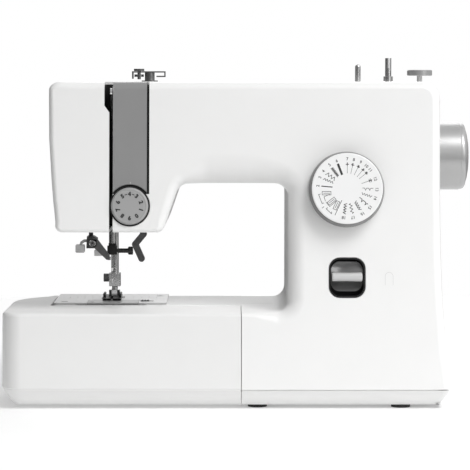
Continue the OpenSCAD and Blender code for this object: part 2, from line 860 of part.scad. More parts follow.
module tension_discs() {
  color("silver") on_front(tension_x, tension_z) union() {
    translate([0, 0, -34]) cylinder(h = 30.6, r = 3);
    for (z = [-15, -17.4, -19.8]) translate([0, 0, z]) difference() {
      cylinder(h = 0.9, r = 11);
      translate([0, 0, -1]) cylinder(h = 3, r = 3);
    }
    translate([0, 0, -34]) difference() {
      cylinder(h = 2, r = 12);
      translate([0, 0, -1]) cylinder(h = 4, r = 3);
    }
  }
}

module thread_guide() {
  color("silver") difference() {
    union() {
      rod_z(body_h, body_h + 1, guide_x, guide_y, 7.2);
      rod_z(body_h + 1, body_h + 8, guide_x, guide_y, 4.4);
      block(-96.5, -72, -10, -2, body_h + 8, body_h + 9.2);
      block(-97.7, -96.5, -10, -2, body_h + 2.5, body_h + 9.2);
      block(-72, -68, -6.6, -5.4, body_h + 8, body_h + 9.2);
      block(-69, -67.8, -6.6, -5.4, body_h + 4, body_h + 9.2);
      block(-76, -69, -6.6, -5.4, body_h + 4, body_h + 5.2);
    }
    rod_z(body_h - 2, body_h + 6, guide_x, guide_y, 1.6);
    rod_z(body_h + 5, body_h + 12, guide_screw_x, guide_y, 1.6);
  }
}
module guide_screw() {
  color("silver") {
    rod_z(body_h + 2, body_h + 11.4, guide_screw_x, guide_y, 1.5);
    translate([guide_screw_x, guide_y, body_h + 9.4]) linear_extrude(2) toothed_disc(4.6, 20, 0.3);
    difference() {
      rod_z(body_h + 4.2, body_h + 6.4, guide_screw_x, guide_y, 4.2);
      rod_z(body_h + 4, body_h + 7, guide_screw_x, guide_y, 1.5);
    }
  }
}

// ---- top ----
module spool_pin() {
  color("dimgray") union() {
    rod_z(body_h + 0.2, body_h + 13, spool_x, pin_y, 2.5);
    rod_z(246, body_h + 0.2, spool_x, pin_y, 2);
    translate([spool_x, pin_y, body_h + 13]) sphere(r = 2.5);
    rod_z(246, 249, spool_x, pin_y, 4.6);
  }
}

module winder_base() {
  color("dimgray") difference() {
    union() {
      block(winder_x - 8, winder_x + 8, pin_y - 8, pin_y + 8, 272, 275);
      rod_z(275, body_h + 0.4, winder_x, pin_y, 2.9);
      rod_z(body_h + 0.4, body_h + 4.6, winder_x, pin_y, 4.2);
    }
    rod_z(270, body_h + 6, winder_x, pin_y, 1.5 + fit);
  }
}
module winder_spindle() {
  color("silver") difference() {
    union() {
      rod_z(268, body_h + 4.7, winder_x, pin_y, 1.5);
      rod_z(body_h + 4.7, body_h + 21, winder_x, pin_y, 2.8);
      rod_z(266, 271.6, winder_x, pin_y, 11);
    }
    block(winder_x - 0.4, winder_x + 0.4, pin_y - 4, pin_y + 4, body_h + 12, body_h + 22);
  }
}
module winder_stop() {
  color("lightgray") difference() {
    union() {
      rod_z(body_h, body_h + 5, stop_x, 0, 4);
      rod_z(body_h + 5, body_h + 10.4, stop_x, 0, 11.2);
      rod_z(body_h - 8, body_h, stop_x, 0, 2.5);
    }
    rod_z(body_h + 9, body_h + 12, stop_x, 0, 3);
  }
}

module carrying_handle() {
  half = 62;
  hinge = [73, 266];
  color("whitesmoke") union() {
    for (s = [-1, 1]) along_x(s * (half - 5) - 5, s * (half - 5) + 5) hull() {
      translate(hinge) circle(r = 5.5, $fn = 32);
      translate([73, 220]) circle(r = 4.5, $fn = 32);
    }
    along_x(-half, half) hull() {
      translate([73, 222]) circle(r = 5.5, $fn = 32);
      translate([73, 216]) circle(r = 5.5, $fn = 32);
    }
    rod_x(-66.5, -half + 1, hinge[0], hinge[1], 2.5);
    rod_x(half - 1, 66.5, hinge[0], hinge[1], 2.5);
  }
}

// ---- stitch dial and reverse ----
module stitch_dial() {
  color("white") on_front(stitch_x, stitch_z) difference() {
    translate([0, 0, dial_gap]) rotate_extrude($fn = 96)
      polygon(concat([[0, 0], [dial_r + 2.2, 0]],
        arc([dial_r - 1.6, dial_h - 1.6], 1.6, 10, 90, 4), [[0, dial_h]]));
    translate([0, 0, dial_gap - 1]) difference() {
      cylinder(h = dial_h - 2.5, r = dial_r - 3);
      cylinder(h = dial_h, r = 9);
    }
    translate([0, 0, -1]) cylinder(h = 10, r = 5);
  }
}
module stitch_cams() {
  color("ivory") on_front(stitch_x, stitch_z) union() {
    translate([0, 0, -30]) cylinder(h = 39, r = 5);
    for (i = [0:3]) translate([0, 0, -28 + 5 * i]) linear_extrude(3) difference() {
      translate([1.5 * cos(90 * i), 1.5 * sin(90 * i)]) circle(r = 15);
      circle(r = 5);
    }
  }
}

module reverse_bezel() {
  color("#303030") difference() {
    along_y(front_y(reverse_z) - 5, front_y(reverse_z) + reverse_deep)
      translate([reverse_x, reverse_z]) round_rect(reverse_w - 0.02, reverse_h - 0.02, 9.49);
    along_y(front_y(reverse_z) - 10, front_y(reverse_z) + reverse_deep - 1.6)
      translate([reverse_x, reverse_z]) round_rect(reverse_w - 2.4, reverse_h - 2.4, 8.3);
    front_of_face(0.3);
    block(reverse_x - 5, reverse_x + 5, front_y(reverse_z) + 5, front_y(reverse_z) + 20,
      reverse_z - 5, reverse_z + 7);
  }
}
// Everything in front of the leaning face, moved back by a distance
module front_of_face(back) {
  along_x(-300, 300)
    polygon([[-300, 0], [front_y(0) + back, 0], [front_y(400) + back, 400], [-300, 400]]);
}
module reverse_lever() {
  y0 = front_y(reverse_z);
  color("darkgray") union() {
    intersection() {
      along_x(reverse_x - 13.5, reverse_x + 13.5)
        polygon([[y0 + 4, reverse_z + 12], [y0 + 7, reverse_z + 12], [y0 + 9, reverse_z + 4],
          [y0 + 9, reverse_z - 2.5], [y0 - 3, reverse_z - 2.5], [y0 - 4.2, reverse_z - 1.4],
          [y0 - 4.2, reverse_z + 3], [y0 - 3, reverse_z + 4.6], [y0 + 2.5, reverse_z + 5.6]]);
      along_y(y0 - 20, y0 + 20) translate([reverse_x, reverse_z]) round_rect(27, 29, 7);
    }
    block(reverse_x - 3.5, reverse_x + 3.5, y0 + 9, y0 + 26, reverse_z - 2, reverse_z + 3);
    rod_x(reverse_x - 6, reverse_x + 6, y0 + 22, reverse_z, 2.2);
  }
}

// ---- lamp, socket, switch ----
module lamp() {
  color("lightyellow") union() {
    rod_z(head_z - 1, head_z + 5, lamp_x, 0, 7);
    rod_z(head_z + 5, head_z + 8, lamp_x, 0, 8.5);
  }
}

socket_x = 171;
socket_z = 44;
module side_sockets() {
  block(socket_x, base_r + 5, 14, 40, socket_z - 11, socket_z + 11);
  block(socket_x, base_r + 5, 46, 64, socket_z - 11, socket_z + 11);
}
module inlet_socket() {
  color("#252525") difference() {
    block(socket_x, socket_x + 8, 14.02, 39.98, socket_z - 10.98, socket_z + 10.98);
    block(socket_x + 1.5, socket_x + 9, 17, 37, socket_z - 8, socket_z + 8);
  }
  color("goldenrod") for (y = [22, 27, 32]) rod_x(socket_x + 1.5 - eps, socket_x + 7, y, socket_z, 1.2);
}
module power_switch() {
  color("#303030") {
    difference() {
      block(socket_x + 1.5, socket_x + 10, 47.2, 62.8, socket_z - 9.2, socket_z + 9.2);
      rod_y(40, 70, socket_x + 23, socket_z + 3, 15);
    }
    for (y = [46.3, 62.7]) rod_y(y, y + 1, socket_x + 3, socket_z, 1.2);
  }
}

front_cover();
rear_cover();
face_cover();
base_plate();
free_arm_cover();
accessory_tray();
cast_frame();
cover_screws();
rubber_feet();
needle_plate();
plate_screws();
bobbin_cover();
release_button();
tension_panel();
slot_liner();
tension_dial();
tension_discs();
thread_guide();
guide_screw();
spool_pin();
winder_base();
winder_spindle();
winder_stop();
carrying_handle();
hand_wheel();
main_shaft();
shaft_pulleys();
shaft_bushes();
crank();
needle_bar_link();
take_up_lever();
needle_bar_frame();
needle_bar();
needle_clamp();
clamp_screw();
needle();
presser_bar();
presser_spring();
presser_bracket();
foot_holder();
foot_screw();
presser_foot();
lifter_lever();
needle_threader();
timing_belt();
lower_shaft();
hook();
bobbin_case();
bobbin();
motor();
motor_pulley();
motor_belt();
stitch_dial();
stitch_cams();
reverse_bezel();
reverse_lever();
feed_dog();
lamp();
inlet_socket();
power_switch();
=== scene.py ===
"""Looks of a household sewing machine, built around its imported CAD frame.
Lengths in the functions below are millimetres; build() turns them into metres."""
import math

import bmesh
import bpy
from mathutils import Matrix, Vector


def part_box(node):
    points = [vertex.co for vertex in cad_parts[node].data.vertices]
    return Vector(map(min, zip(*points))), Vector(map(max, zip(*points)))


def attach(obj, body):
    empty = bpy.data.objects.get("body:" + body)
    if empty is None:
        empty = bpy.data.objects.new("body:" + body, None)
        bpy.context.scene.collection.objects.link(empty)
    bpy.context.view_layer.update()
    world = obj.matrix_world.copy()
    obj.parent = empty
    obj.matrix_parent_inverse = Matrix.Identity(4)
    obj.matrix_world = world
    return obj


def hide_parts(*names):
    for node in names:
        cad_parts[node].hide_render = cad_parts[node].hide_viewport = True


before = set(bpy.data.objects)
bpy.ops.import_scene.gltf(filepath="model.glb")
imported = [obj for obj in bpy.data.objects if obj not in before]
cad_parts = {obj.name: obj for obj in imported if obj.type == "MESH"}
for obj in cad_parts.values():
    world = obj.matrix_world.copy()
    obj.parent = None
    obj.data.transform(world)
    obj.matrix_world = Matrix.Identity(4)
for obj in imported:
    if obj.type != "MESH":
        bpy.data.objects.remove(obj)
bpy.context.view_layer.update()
MM = 0.001


def box(node):
    """Lowest and highest corner of a CAD node, in millimetres."""
    low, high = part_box(node)
    return low / MM, high / MM


# ---- sizes taken from the frame ----
front_low, front_high = box("front_cover")
face_low = box("face_cover")[0]
tray_low, tray_high = box("accessory_tray")
arm_low, arm_high = box("free_arm_cover")
rear_high = box("rear_cover")[1]
crease_z = front_low.z
body_h = front_high.z
base_r = front_high.x
base_l = tray_low.x
back_y = rear_high.y
half_depth = -front_low.y
bed_h = arm_high.z
sole_z = tray_low.z
head_l = face_low.x
head_z = face_low.z
seam_x = tray_high.x
split_y = front_high.y
undercut = 13.0
wall = 2.6
lean = math.radians(7)
tray_inner_y = arm_low.y - 1

column_r = base_r - 8.5
throat_x, throat_r = 40.6, 11.5
arm_under_z = 195.6
head_r, head_slant_x = -67.0, -57.0
slot_l, slot_l_low, slot_r = -120.0, -115.7, -112.4
panel_r, panel_gap, panel_z, panel_back = -82.8, 2.2, 187.0, -14.0
tension_x, tension_z, tension_r, tension_gap = -97.6, 176.5, 16.2, 1.4
stitch_x, stitch_z, dial_r, dial_h = 91.6, 191.0, 30.9, 14.0
reverse_x, reverse_z, reverse_w, reverse_h = 92.0, 114.5, 31.5, 34.5
shaft_y, shaft_z = 32.0, 217.0
needle_x = -118.5
pocket_half, pocket_z = 64, 206
threader_x, threader_y = -138, 20.0
number_r, mark_in, mark_out = 25.5, 13.2, 22.3
FAR = 400
ARC_STEPS = 10
SHARP_ANGLE = 32


def front_y(z):
    return -half_depth + (z - crease_z) * math.tan(lean)


def mix(a, b, t):
    return a + (b - a) * t


# ---- materials ----
def material(name, colour, rough, grain=900.0, bump=0.02, metal=0.0, coat=0.0, shade=0.03, stretch=(1, 1, 1)):
    """Moulded or machined surface: colour and roughness vary a little, and a fine bump dulls the gloss."""
    made = bpy.data.materials.new(name)
    made.use_nodes = True
    nodes, links = made.node_tree.nodes, made.node_tree.links
    shader = nodes["Principled BSDF"]
    shader.inputs["Metallic"].default_value = metal
    shader.inputs["Coat Weight"].default_value = coat
    shader.inputs["Coat Roughness"].default_value = 0.12
    place = nodes.new("ShaderNodeTexCoord")
    scaled = nodes.new("ShaderNodeMapping")
    scaled.inputs["Scale"].default_value = stretch
    links.new(place.outputs["Object"], scaled.inputs["Vector"])
    fine = nodes.new("ShaderNodeTexNoise")
    fine.inputs["Scale"].default_value = grain
    fine.inputs["Detail"].default_value = 3
    broad = nodes.new("ShaderNodeTexNoise")
    broad.inputs["Scale"].default_value = 35
    broad.inputs["Detail"].default_value = 2
    for texture in (fine, broad):
        links.new(scaled.outputs["Vector"], texture.inputs["Vector"])
    tint = nodes.new("ShaderNodeValToRGB")
    tint.color_ramp.elements[0].color = (*[c * (1 - shade) for c in colour], 1)
    tint.color_ramp.elements[1].color = (*[min(1, c * (1 + shade)) for c in colour], 1)
    links.new(broad.outputs["Fac"], tint.inputs["Fac"])
    links.new(tint.outputs["Color"], shader.inputs["Base Color"])
    gloss = nodes.new("ShaderNodeMapRange")
    gloss.inputs["To Min"].default_value = max(0.02, rough - 0.06)
    gloss.inputs["To Max"].default_value = rough + 0.06
    links.new(fine.outputs["Fac"], gloss.inputs["Value"])
    links.new(gloss.outputs["Result"], shader.inputs["Roughness"])
    relief = nodes.new("ShaderNodeBump")
    relief.inputs["Strength"].default_value = bump * 10
    relief.inputs["Distance"].default_value = 0.00005
    links.new(fine.outputs["Fac"], relief.inputs["Height"])
    links.new(relief.outputs["Normal"], shader.inputs["Normal"])
    return made


def grey(value):
    return (value, value, value)


LOOK = {
    "white_cover": material("white_cover_plastic", (0.83, 0.83, 0.825), 0.3, coat=0.15, shade=0.012),
    "base_white": material("base_white_plastic", (0.79, 0.79, 0.785), 0.34, coat=0.1, shade=0.012),
    "grey_panel": material("grey_panel_plastic", grey(0.25), 0.33, coat=0.15),
    "grey_dial": material("grey_dial_plastic", grey(0.34), 0.36, coat=0.1),
    "dial_white": material("dial_white_plastic", (0.84, 0.84, 0.84), 0.3, coat=0.15, shade=0.012),
    "black_plastic": material("black_plastic", grey(0.012), 0.35, bump=0.04),
    "dark_plastic": material("dark_plastic", grey(0.035), 0.38, bump=0.04),
    "silver_plastic": material("silver_plastic", grey(0.42), 0.34, metal=0.55, coat=0.2, grain=1600),
    "light_grey": material("light_grey_plastic", grey(0.55), 0.36, bump=0.03),
    "steel": material("brushed_steel", grey(0.56), 0.28, metal=1.0, grain=500, stretch=(1, 8, 1)),
    "plate_steel": material("plate_steel", grey(0.62), 0.42, metal=0.6, grain=500, stretch=(1, 8, 1)),
    "soft_dark": material("soft_dark_plastic", grey(0.095), 0.42, bump=0.04),
    "chrome": material("chrome_plate", grey(0.72), 0.12, metal=1.0, bump=0.005),
    "cast_alloy": material("cast_alloy", grey(0.4), 0.55, metal=0.8, grain=700, bump=0.12),
    "bronze": material("sintered_bronze", (0.45, 0.27, 0.12), 0.45, metal=0.9, bump=0.08),
    # Near-black for black parts; also painted shade where it fills the tension dial's gap.
    "deep_black": material("deep_black_plastic", grey(0.004), 0.6, bump=0.04),
    "lever_grey": material("lever_grey_plastic", grey(0.13), 0.34, coat=0.1),
    # Knurled skirt grey: partly its own colour, partly painted shade that darkens it like its shaded side.
    "knurled_grey": material("knurled_grey_plastic", grey(0.2), 0.4, bump=0.05),
    "dark_steel": material("dark_steel", grey(0.2), 0.3, metal=0.9, grain=500),
    "rubber": material("rubber", grey(0.018), 0.75, bump=0.1),
    "nylon": material("nylon", (0.72, 0.70, 0.63), 0.5, bump=0.04),
    "lens": material("lamp_lens", (0.86, 0.86, 0.84), 0.2, bump=0.06),
    "clear": material("bobbin_plastic", (0.62, 0.68, 0.74), 0.15, bump=0.01),
    "print": material("printed_ink", grey(0.03), 0.45, bump=0.02),
    "faint_print": material("grey_ink", grey(0.45), 0.45, bump=0.02),
    "pale_print": material("pale_ink", grey(0.62), 0.45, bump=0.02),
}


# ---- mesh helpers ----
def build(name, verts, faces, look, body, replaced=(), bevel=0.0):
    """A piece from vertices in millimetres, riding on a body and standing for CAD nodes."""
    mesh = bpy.data.meshes.new(name)
    mesh.from_pydata([tuple(c * MM for c in v) for v in verts], [], faces)
    made = bmesh.new()
    made.from_mesh(mesh)
    bmesh.ops.remove_doubles(made, verts=made.verts, dist=1e-6)
    bmesh.ops.recalc_face_normals(made, faces=made.faces)
    made.to_mesh(mesh)
    made.free()
    piece = bpy.data.objects.new(name, mesh)
    bpy.context.scene.collection.objects.link(piece)
    dress(piece, look, body, replaced)
    if bevel:
        soften(piece, bevel)
    return piece


def dress(piece, look, body, replaced=()):
    piece.data.materials.clear()
    piece.data.materials.append(LOOK[look])
    if body:
        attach(piece, body)
    if replaced:
        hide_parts(*replaced)


def soften(piece, width, angle=35):
    bevel = piece.modifiers.new("edge_round", "BEVEL")
    bevel.width = width * MM
    bevel.segments = 2
    bevel.limit_method = "ANGLE"
    bevel.angle_limit = math.radians(angle)
    bevel.harden_normals = False


def smooth(piece, angle=SHARP_ANGLE):
    """Smooth shading, with edges sharper than the angle kept."""
    made = bmesh.new()
    made.from_mesh(piece.data)
    for face in made.faces:
        face.smooth = True
    for edge in made.edges:
        edge.smooth = len(edge.link_faces) == 2 and edge.calc_face_angle(0) < math.radians(angle)
    made.to_mesh(piece.data)
    made.free()
    normals = piece.modifiers.new("face_normals", "WEIGHTED_NORMAL")
    normals.keep_sharp = True
    normals.weight = 90


def loft(rings):
    """Vertices and faces of closed rings joined one after the other, with flat ends."""
    count = len(rings[0])
    verts = [p for ring in rings for p in ring]
    faces = []
    for r in range(len(rings) - 1):
        for i in range(count):
            j = (i + 1) % count
            faces.append((r * count + i, r * count + j, (r + 1) * count + j, (r + 1) * count + i))
    faces.append(tuple(range(count)))
    faces.append(tuple(range((len(rings) - 1) * count, len(rings) * count)))
    return verts, faces


def tube(rings):
    """Closed rings joined into a ring-shaped solid: the last one meets the first."""
    count = len(rings[0])
    verts = [p for ring in rings for p in ring]
    faces = []
    for r in range(len(rings)):
        s = (r + 1) % len(rings)
        for i in range(count):
            j = (i + 1) % count
            faces.append((r * count + i, r * count + j, s * count + j, s * count + i))
    return verts, faces


def turned_ring(profile, matrix, count=96):
    """A ring-shaped turned solid about local Z from (radius, height) points."""
    return placed(tube([[(*p, h) for p in circle(0, 0, r, count)] for r, h in profile]), matrix)


def helper(name, verts, faces):
    """A mesh used only to cut others; it is deleted afterwards."""
    return build(name, verts, faces, "white_cover", None)


def prism(points, low, high, axis="y"):
    """Straight prism of an outline, between two places along an axis."""
    place = {
        "x": lambda p, q, d: (d, p, q),
        "y": lambda p, q, d: (p, d, q),
        "z": lambda p, q, d: (p, q, d),
    }[axis]
    return loft([[place(p, q, d) for p, q in points] for d in (low, high)])


def block(x0, x1, y0, y1, z0, z1):
    return prism([(x0, y0), (x1, y0), (x1, y1), (x0, y1)], z0, z1, "z")


def circle(cx, cy, radius, count=64):
    return [
        (cx + radius * math.cos(math.tau * i / count), cy + radius * math.sin(math.tau * i / count))
        for i in range(count)
    ]


def round_rect(cx, cy, width, height, radius, steps=8):
    points = []
    for sx, sy, start in ((1, 1, 0), (-1, 1, 90), (-1, -1, 180), (1, -1, 270)):
        for i in range(steps + 1):
            angle = math.radians(start + 90 * i / steps)
            points.append(
                (
                    cx + sx * (width / 2 - radius) + radius * math.cos(angle),
                    cy + sy * (height / 2 - radius) + radius * math.sin(angle),
                )
            )
    return points


def face_place(x, z):
    """Local +Z points out of the leaning front face, local +Y up along it."""
    return Matrix.Translation((x, front_y(z), z)) @ Matrix.Rotation(math.pi / 2 - lean, 4, "X")


def placed(shape, matrix):
    verts, faces = shape
    return [tuple(matrix @ Vector(v)) for v in verts], faces


def lathe(profile, count=96, matrix=None):
    """A turned solid about local Z from (radius, height) points; a radius of 0 closes it."""
    rings = [[(*p, h) for p in circle(0, 0, max(r, 0.001), count)] for r, h in profile]
    verts, faces = loft(rings)
    return placed((verts, faces), matrix) if matrix else (verts, faces)


def carve(piece, shapes, operation="DIFFERENCE", solvers=("EXACT", "FAST")):
    """Cuts or joins each shape in turn. Where the exact result comes back empty, the fast one is used."""
    for n, (verts, faces) in enumerate(shapes):
        tool = helper(f"cutter_{n}", verts, faces)
        cut = piece.modifiers.new("cut", "BOOLEAN")
        cut.object = tool
        cut.operation = operation
        for solver in solvers:
            cut.solver = solver
            graph = bpy.context.evaluated_depsgraph_get()
            result = bpy.data.meshes.new_from_object(piece.evaluated_get(graph))
            if len(result.vertices):
                break
        piece.modifiers.clear()
        piece.data = result
        bpy.data.objects.remove(tool)


# ---- the covers' outline ----
def arc(cx, cz, rx, rz, start, end, first, last):
    """Outline points on an elliptical arc, each with its front inset and depth of rounding."""
    points = []
    for i in range(ARC_STEPS + 1):
        t = i / ARC_STEPS
        a = math.radians(mix(start, end, t))
        inset, depth = (mix(p, q, t) for p, q in zip(first, last))
        points.append((cx + rx * math.cos(a), cz + rz * math.sin(a), inset, depth))
    return points


def straight(points, steps):
    """Points between neighbours of a polyline, its ends included."""
    made = []
    for p, q in zip(points, points[1:]):
        made += [tuple(mix(a, b, i / steps) for a, b in zip(p, q)) for i in range(steps)]
    return made + [points[-1]]


def cover_outline():
    """(x, z, inset, depth) round the covers from the base's left end, anticlockwise seen from the front."""
    side, top, small, scoop = (8, 9), (7, 8), (2, 2), (27, 20)
    top_r = 16
    made = straight([(0, crease_z, *small), (base_r - side[0] - 5, crease_z, *small)], 8)
    flank = [(base_r, crease_z), (base_r - 1.4, 34), (base_r - 3.9, 52), (column_r + 2.8, 76)]
    flank += [(column_r + 1.2, 100), (column_r, 140), (column_r - 0.4, 190), (column_r, body_h - top_r - 2)]
    made += straight([(x, z, *side) for x, z in flank], 2)
    made += arc(column_r - top_r, body_h - top_r, top_r, top_r, 0, 90, side, top)
    made += straight([(column_r - top_r - 20, body_h, *top), (head_l + 30, body_h - 0.3, *top)], 12)
    made += arc(head_l + 11, body_h - 7.5, 11, 7.5, 90, 180, (6, 7), (4.4, 6))
    taper = [(head_l + 0.1, 262), (head_l + 0.4, 235), (head_l + 2.6, 200), (head_l + 4.2, 180)]
    made += straight([(x, z, 5, 6) for x, z in taper] + [(head_l + 6.2, 163, 5, 5)], 3)
    made += arc(head_l + 12, head_z + 6, 6, 6, 190, 270, (4.4, 5), (3.5, 4))
    made += straight([(head_l + 16, head_z, 3.5, 4), (head_r - 12, head_z, 3.5, 4)], 8)
    made += arc(head_r - 7, head_z + 6.5, 6.5, 6.5, 270, 340, (4, 4.5), (6, 7))
    made += straight([(head_r + 1.2, head_z + 9, 8, 8), (head_slant_x - 0.4, arm_under_z - 9, 9, 9)], 5)
    bend = [(0.9, -5.8, 9.6, 9.5), (2.8, -3.2, 10.6, 10.4), (5.4, -1.2, 12.4, 11.4), (8, -0.3, 14, 12.5)]
    made += [(head_slant_x + x, arm_under_z + z, inset, depth) for x, z, inset, depth in bend]
    made += straight([(head_slant_x + 12, arm_under_z, 17, 14), (head_slant_x + 26, arm_under_z, *scoop)], 4)
    made += straight([(head_slant_x + 30, arm_under_z, *scoop), (throat_x - 34, arm_under_z, *scoop)], 4)
    throat_start = throat_x - throat_r - 1
    made += straight([(throat_x - 30, arm_under_z, *scoop), (throat_start, arm_under_z, 22, 18)], 3)
    made += arc(throat_x - throat_r, arm_under_z - throat_r, throat_r, throat_r, 90, 0, (21.5, 18), (15, 15))
    throat_ends = arm_under_z - throat_r - 2, bed_h + throat_r + 1
    made += straight([(throat_x, z, 15, 15) for z in throat_ends], 6)
    made += arc(throat_x - throat_r, bed_h + throat_r, throat_r, throat_r, 0, -90, (15, 15), (9, 9))
    made += straight([(throat_x - throat_r - 2, bed_h, 8, 8), (12, bed_h, 4, 4), (0, bed_h, 3, 3)], 4)
    return made


def inward(points):
    """Mitred inward direction at each point of a closed anticlockwise outline."""
    count = len(points)
    made = []
    for i in range(count):
        before = (Vector(points[i]) - Vector(points[i - 1])).normalized()
        after = (Vector(points[(i + 1) % count]) - Vector(points[i])).normalized()
        normal = Vector((-before.y - after.y, before.x + after.x)).normalized()
        made.append(normal / max(0.6, normal.dot(Vector((-after.y, after.x)))))
    return made


def body_form(inset):
    """The whole covers' form, moved in by a distance all over, as rings from the front to the rear."""
    outline = cover_outline()
    flat = [(x, z) for x, z, _, _ in outline]
    normals = inward(flat)
    corners = {
        flat.index((0, crease_z)): (0.3, 2, 1, 1),
        flat.index((base_r, crease_z)): (8, 2, -1, 1),
        flat.index((0, bed_h)): (0.3, 3, 1, -1),
    }
    rear_r = 4.5

    def moved(i, across, depth_share):
        """How far point i moves in, for a rounding that has this far to go."""
        if i in corners:
            ax, az, sx, sz = corners[i]
            ax, az = (max(v - inset, 0.3) * depth_share + inset for v in (ax, az))
            return sx * ax, sz * az
        return normals[i] * (across * depth_share + inset)

    rings = []
    for k in range(ARC_STEPS + 1):
        turn = math.pi / 2 * k / ARC_STEPS
        ring = []
        for i, (x, z, a, b) in enumerate(outline):
            dx, dz = moved(i, max(a - inset, 0.3), 1 - math.sin(turn))
            depth = max(b - inset, 0.3) * (1 - math.cos(turn)) + inset
            ring.append((x + dx, front_y(z + dz) + depth, z + dz))
        rings.append(ring)
    r = max(rear_r - inset, 0.3)
    for k in range(7):
        turn = math.pi / 2 * k / 6
        ring = []
        for i, (x, z, _, _) in enumerate(outline):
            share = 1 - math.cos(turn)
            dx, dz = moved(i, r if z > crease_z else 1.0, share)
            ring.append((x + dx, back_y - inset - r * (1 - math.sin(turn)), z + dz))
        rings.append(ring)
    return loft(rings)


def slot_side():
    """Outline of everything left of the thread slot."""
    return [(-FAR, 0), (slot_l_low, 0), (slot_l_low, 258), (slot_l, 264), (slot_l, FAR), (-FAR, FAR)]


def make_covers():
    """The front, rear and face covers and the tension panel, cut from one hollow form."""
    outer, inner = body_form(0), body_form(wall)
    whole = helper("whole_form", *outer)
    carve(whole, [inner])
    under = block(wall + 3, base_r - wall - 3, -half_depth + 6, back_y - 6, 0, crease_z + 2 * wall)
    joint = block(-5, 2 * wall, 4, back_y - 6, 24, bed_h - 4)
    well = block(-150, -86, 14, 56, head_z - 5, head_z + 6)
    pocket = block(-pocket_half, pocket_half, 60, back_y + 5, pocket_z, body_h + 5)
    carve(whole, [under, joint, well])
    carve(whole, [pocket], solvers=("FAST",))

    def part(name, look, body, replaced, keep, cuts):
        piece = bpy.data.objects.new(name, whole.data.copy())
        bpy.context.scene.collection.objects.link(piece)
        carve(piece, [keep], "INTERSECT")
        carve(piece, cuts)
        dress(piece, look, body, replaced)
        smooth(piece)
        return piece

    def hole(r, lip):
        """The tension dial's hole, with a small chamfer at the face."""
        profile = [(r, -14), (r, -lip), (r + lip, 0), (r + lip, 14)]
        return lathe(profile, 96, face_place(tension_x, tension_z))

    def upright(x0, x1):
        """A strip of the front from the tension panel's foot upwards."""
        return prism([(x0, panel_z), (x1, panel_z), (x1, FAR), (x0, FAR)], -FAR, panel_back)

    sockets = [block(171, base_r + 5, y0, y1, 33, 55) for y0, y1 in ((14, 40), (46, 64))]
    recess = round_rect(reverse_x, reverse_z, reverse_w, reverse_h, 9.5)
    lip = round_rect(reverse_x, reverse_z, reverse_w + 1.6, reverse_h + 1.6, 10.3)
    flare = loft(
        [
            [(x, front_y(z) + 1.2, z) for x, z in recess],
            [(x, front_y(z) - 0.4, z) for x, z in lip],
            [(x, front_y(z) - 6, z) for x, z in lip],
        ]
    )
    top_places = ((104.7, 2, 2.9), (160, 0, 2.5), (-82, -6, 1.6))
    top_holes = [prism(circle(x, y, r, 32), 270, 300, "z") for x, y, r in top_places]
    top_holes.append(prism(round_rect(134.5, 2, 11.2, 6.2, 3.09), 270, 300, "z"))
    front_cuts = [
        upright(slot_r - 1, panel_r + panel_gap),
        hole(tension_r + tension_gap, 0.5),
        lathe([(5.05, -20), (5.05, 10)], 48, face_place(stitch_x, stitch_z)),
        prism(recess, -120, -40),
        flare,
        prism(circle(-82, 0, 7.1, 48), 140, 170, "z"),
    ]
    part(
        "front_cover_shell",
        "white_cover",
        "root",
        ["front_cover"],
        block(slot_r, FAR, -FAR, split_y - 0.15, 0, FAR),
        front_cuts + top_holes + sockets,
    )
    part(
        "face_cover_shell",
        "white_cover",
        "root",
        ["face_cover"],
        prism(slot_side(), -FAR, split_y - 0.01),
        [],
    )
    part(
        "face_cover_rear",
        "white_cover",
        "root",
        ["face_cover"],
        block(-FAR, slot_l - 0.15, split_y - 0.01, FAR, 0, FAR),
        [],
    )
    part(
        "tension_panel_shell",
        "grey_panel",
        "root",
        ["tension_panel"],
        upright(slot_r, panel_r),
        [hole(tension_r + tension_gap + 1.4, 0.4)],
    )
    rear = part(
        "rear_cover_shell",
        "white_cover",
        "root",
        ["rear_cover"],
        block(slot_l + 0.15, FAR, split_y + 0.15, FAR, 0, FAR),
        sockets,
    )
    fit_rear(rear)
    bpy.data.objects.remove(whole)


def fit_rear(rear):
    """The vents, the screw recesses and the shaft hole of the rear cover."""
    screws = [(-105, 262), (30, 30), (165, 262), (165, 120), (60, 120)]
    cuts = [prism(circle(x, z, 4.6, 40), back_y - 1.6, back_y + 2) for x, z in screws]
    cuts += [prism(circle(x, z, 1.8, 24), back_y - 8, back_y) for x, z in screws]
    cuts.append(prism(circle(shaft_y, shaft_z, 6, 48), 170, base_r + 5, "x"))
    for i in range(9):
        cuts.append(prism(round_rect(89.5 + 7 * i, 58, 3, 36, 1.4), back_y - 6, back_y + 2))
        cuts.append(prism(round_rect(97.3 + 5.5 * i, 241, 2.6, 22, 1.2), back_y - 6, back_y + 2))
    cuts.append(block(-112, -42, 59, 68, head_z - 10, 184))
    carve(rear, cuts)
    smooth(rear)


def make_handle_pocket():
    """The walled recess that the handle folds into."""
    half = pocket_half + 4
    walls = block(-half, half, 63, back_y - 2, pocket_z - 3, body_h - 2)
    piece = build("handle_pocket", *walls, "white_cover", "root")
    gap = 0.05
    room = block(gap - pocket_half, pocket_half - gap, 65.5, back_y + 5, pocket_z + gap, body_h + 5)
    carve(piece, [room, prism(circle(73, 266, 2.55, 32), -75, 75, "x")])
    smooth(piece)


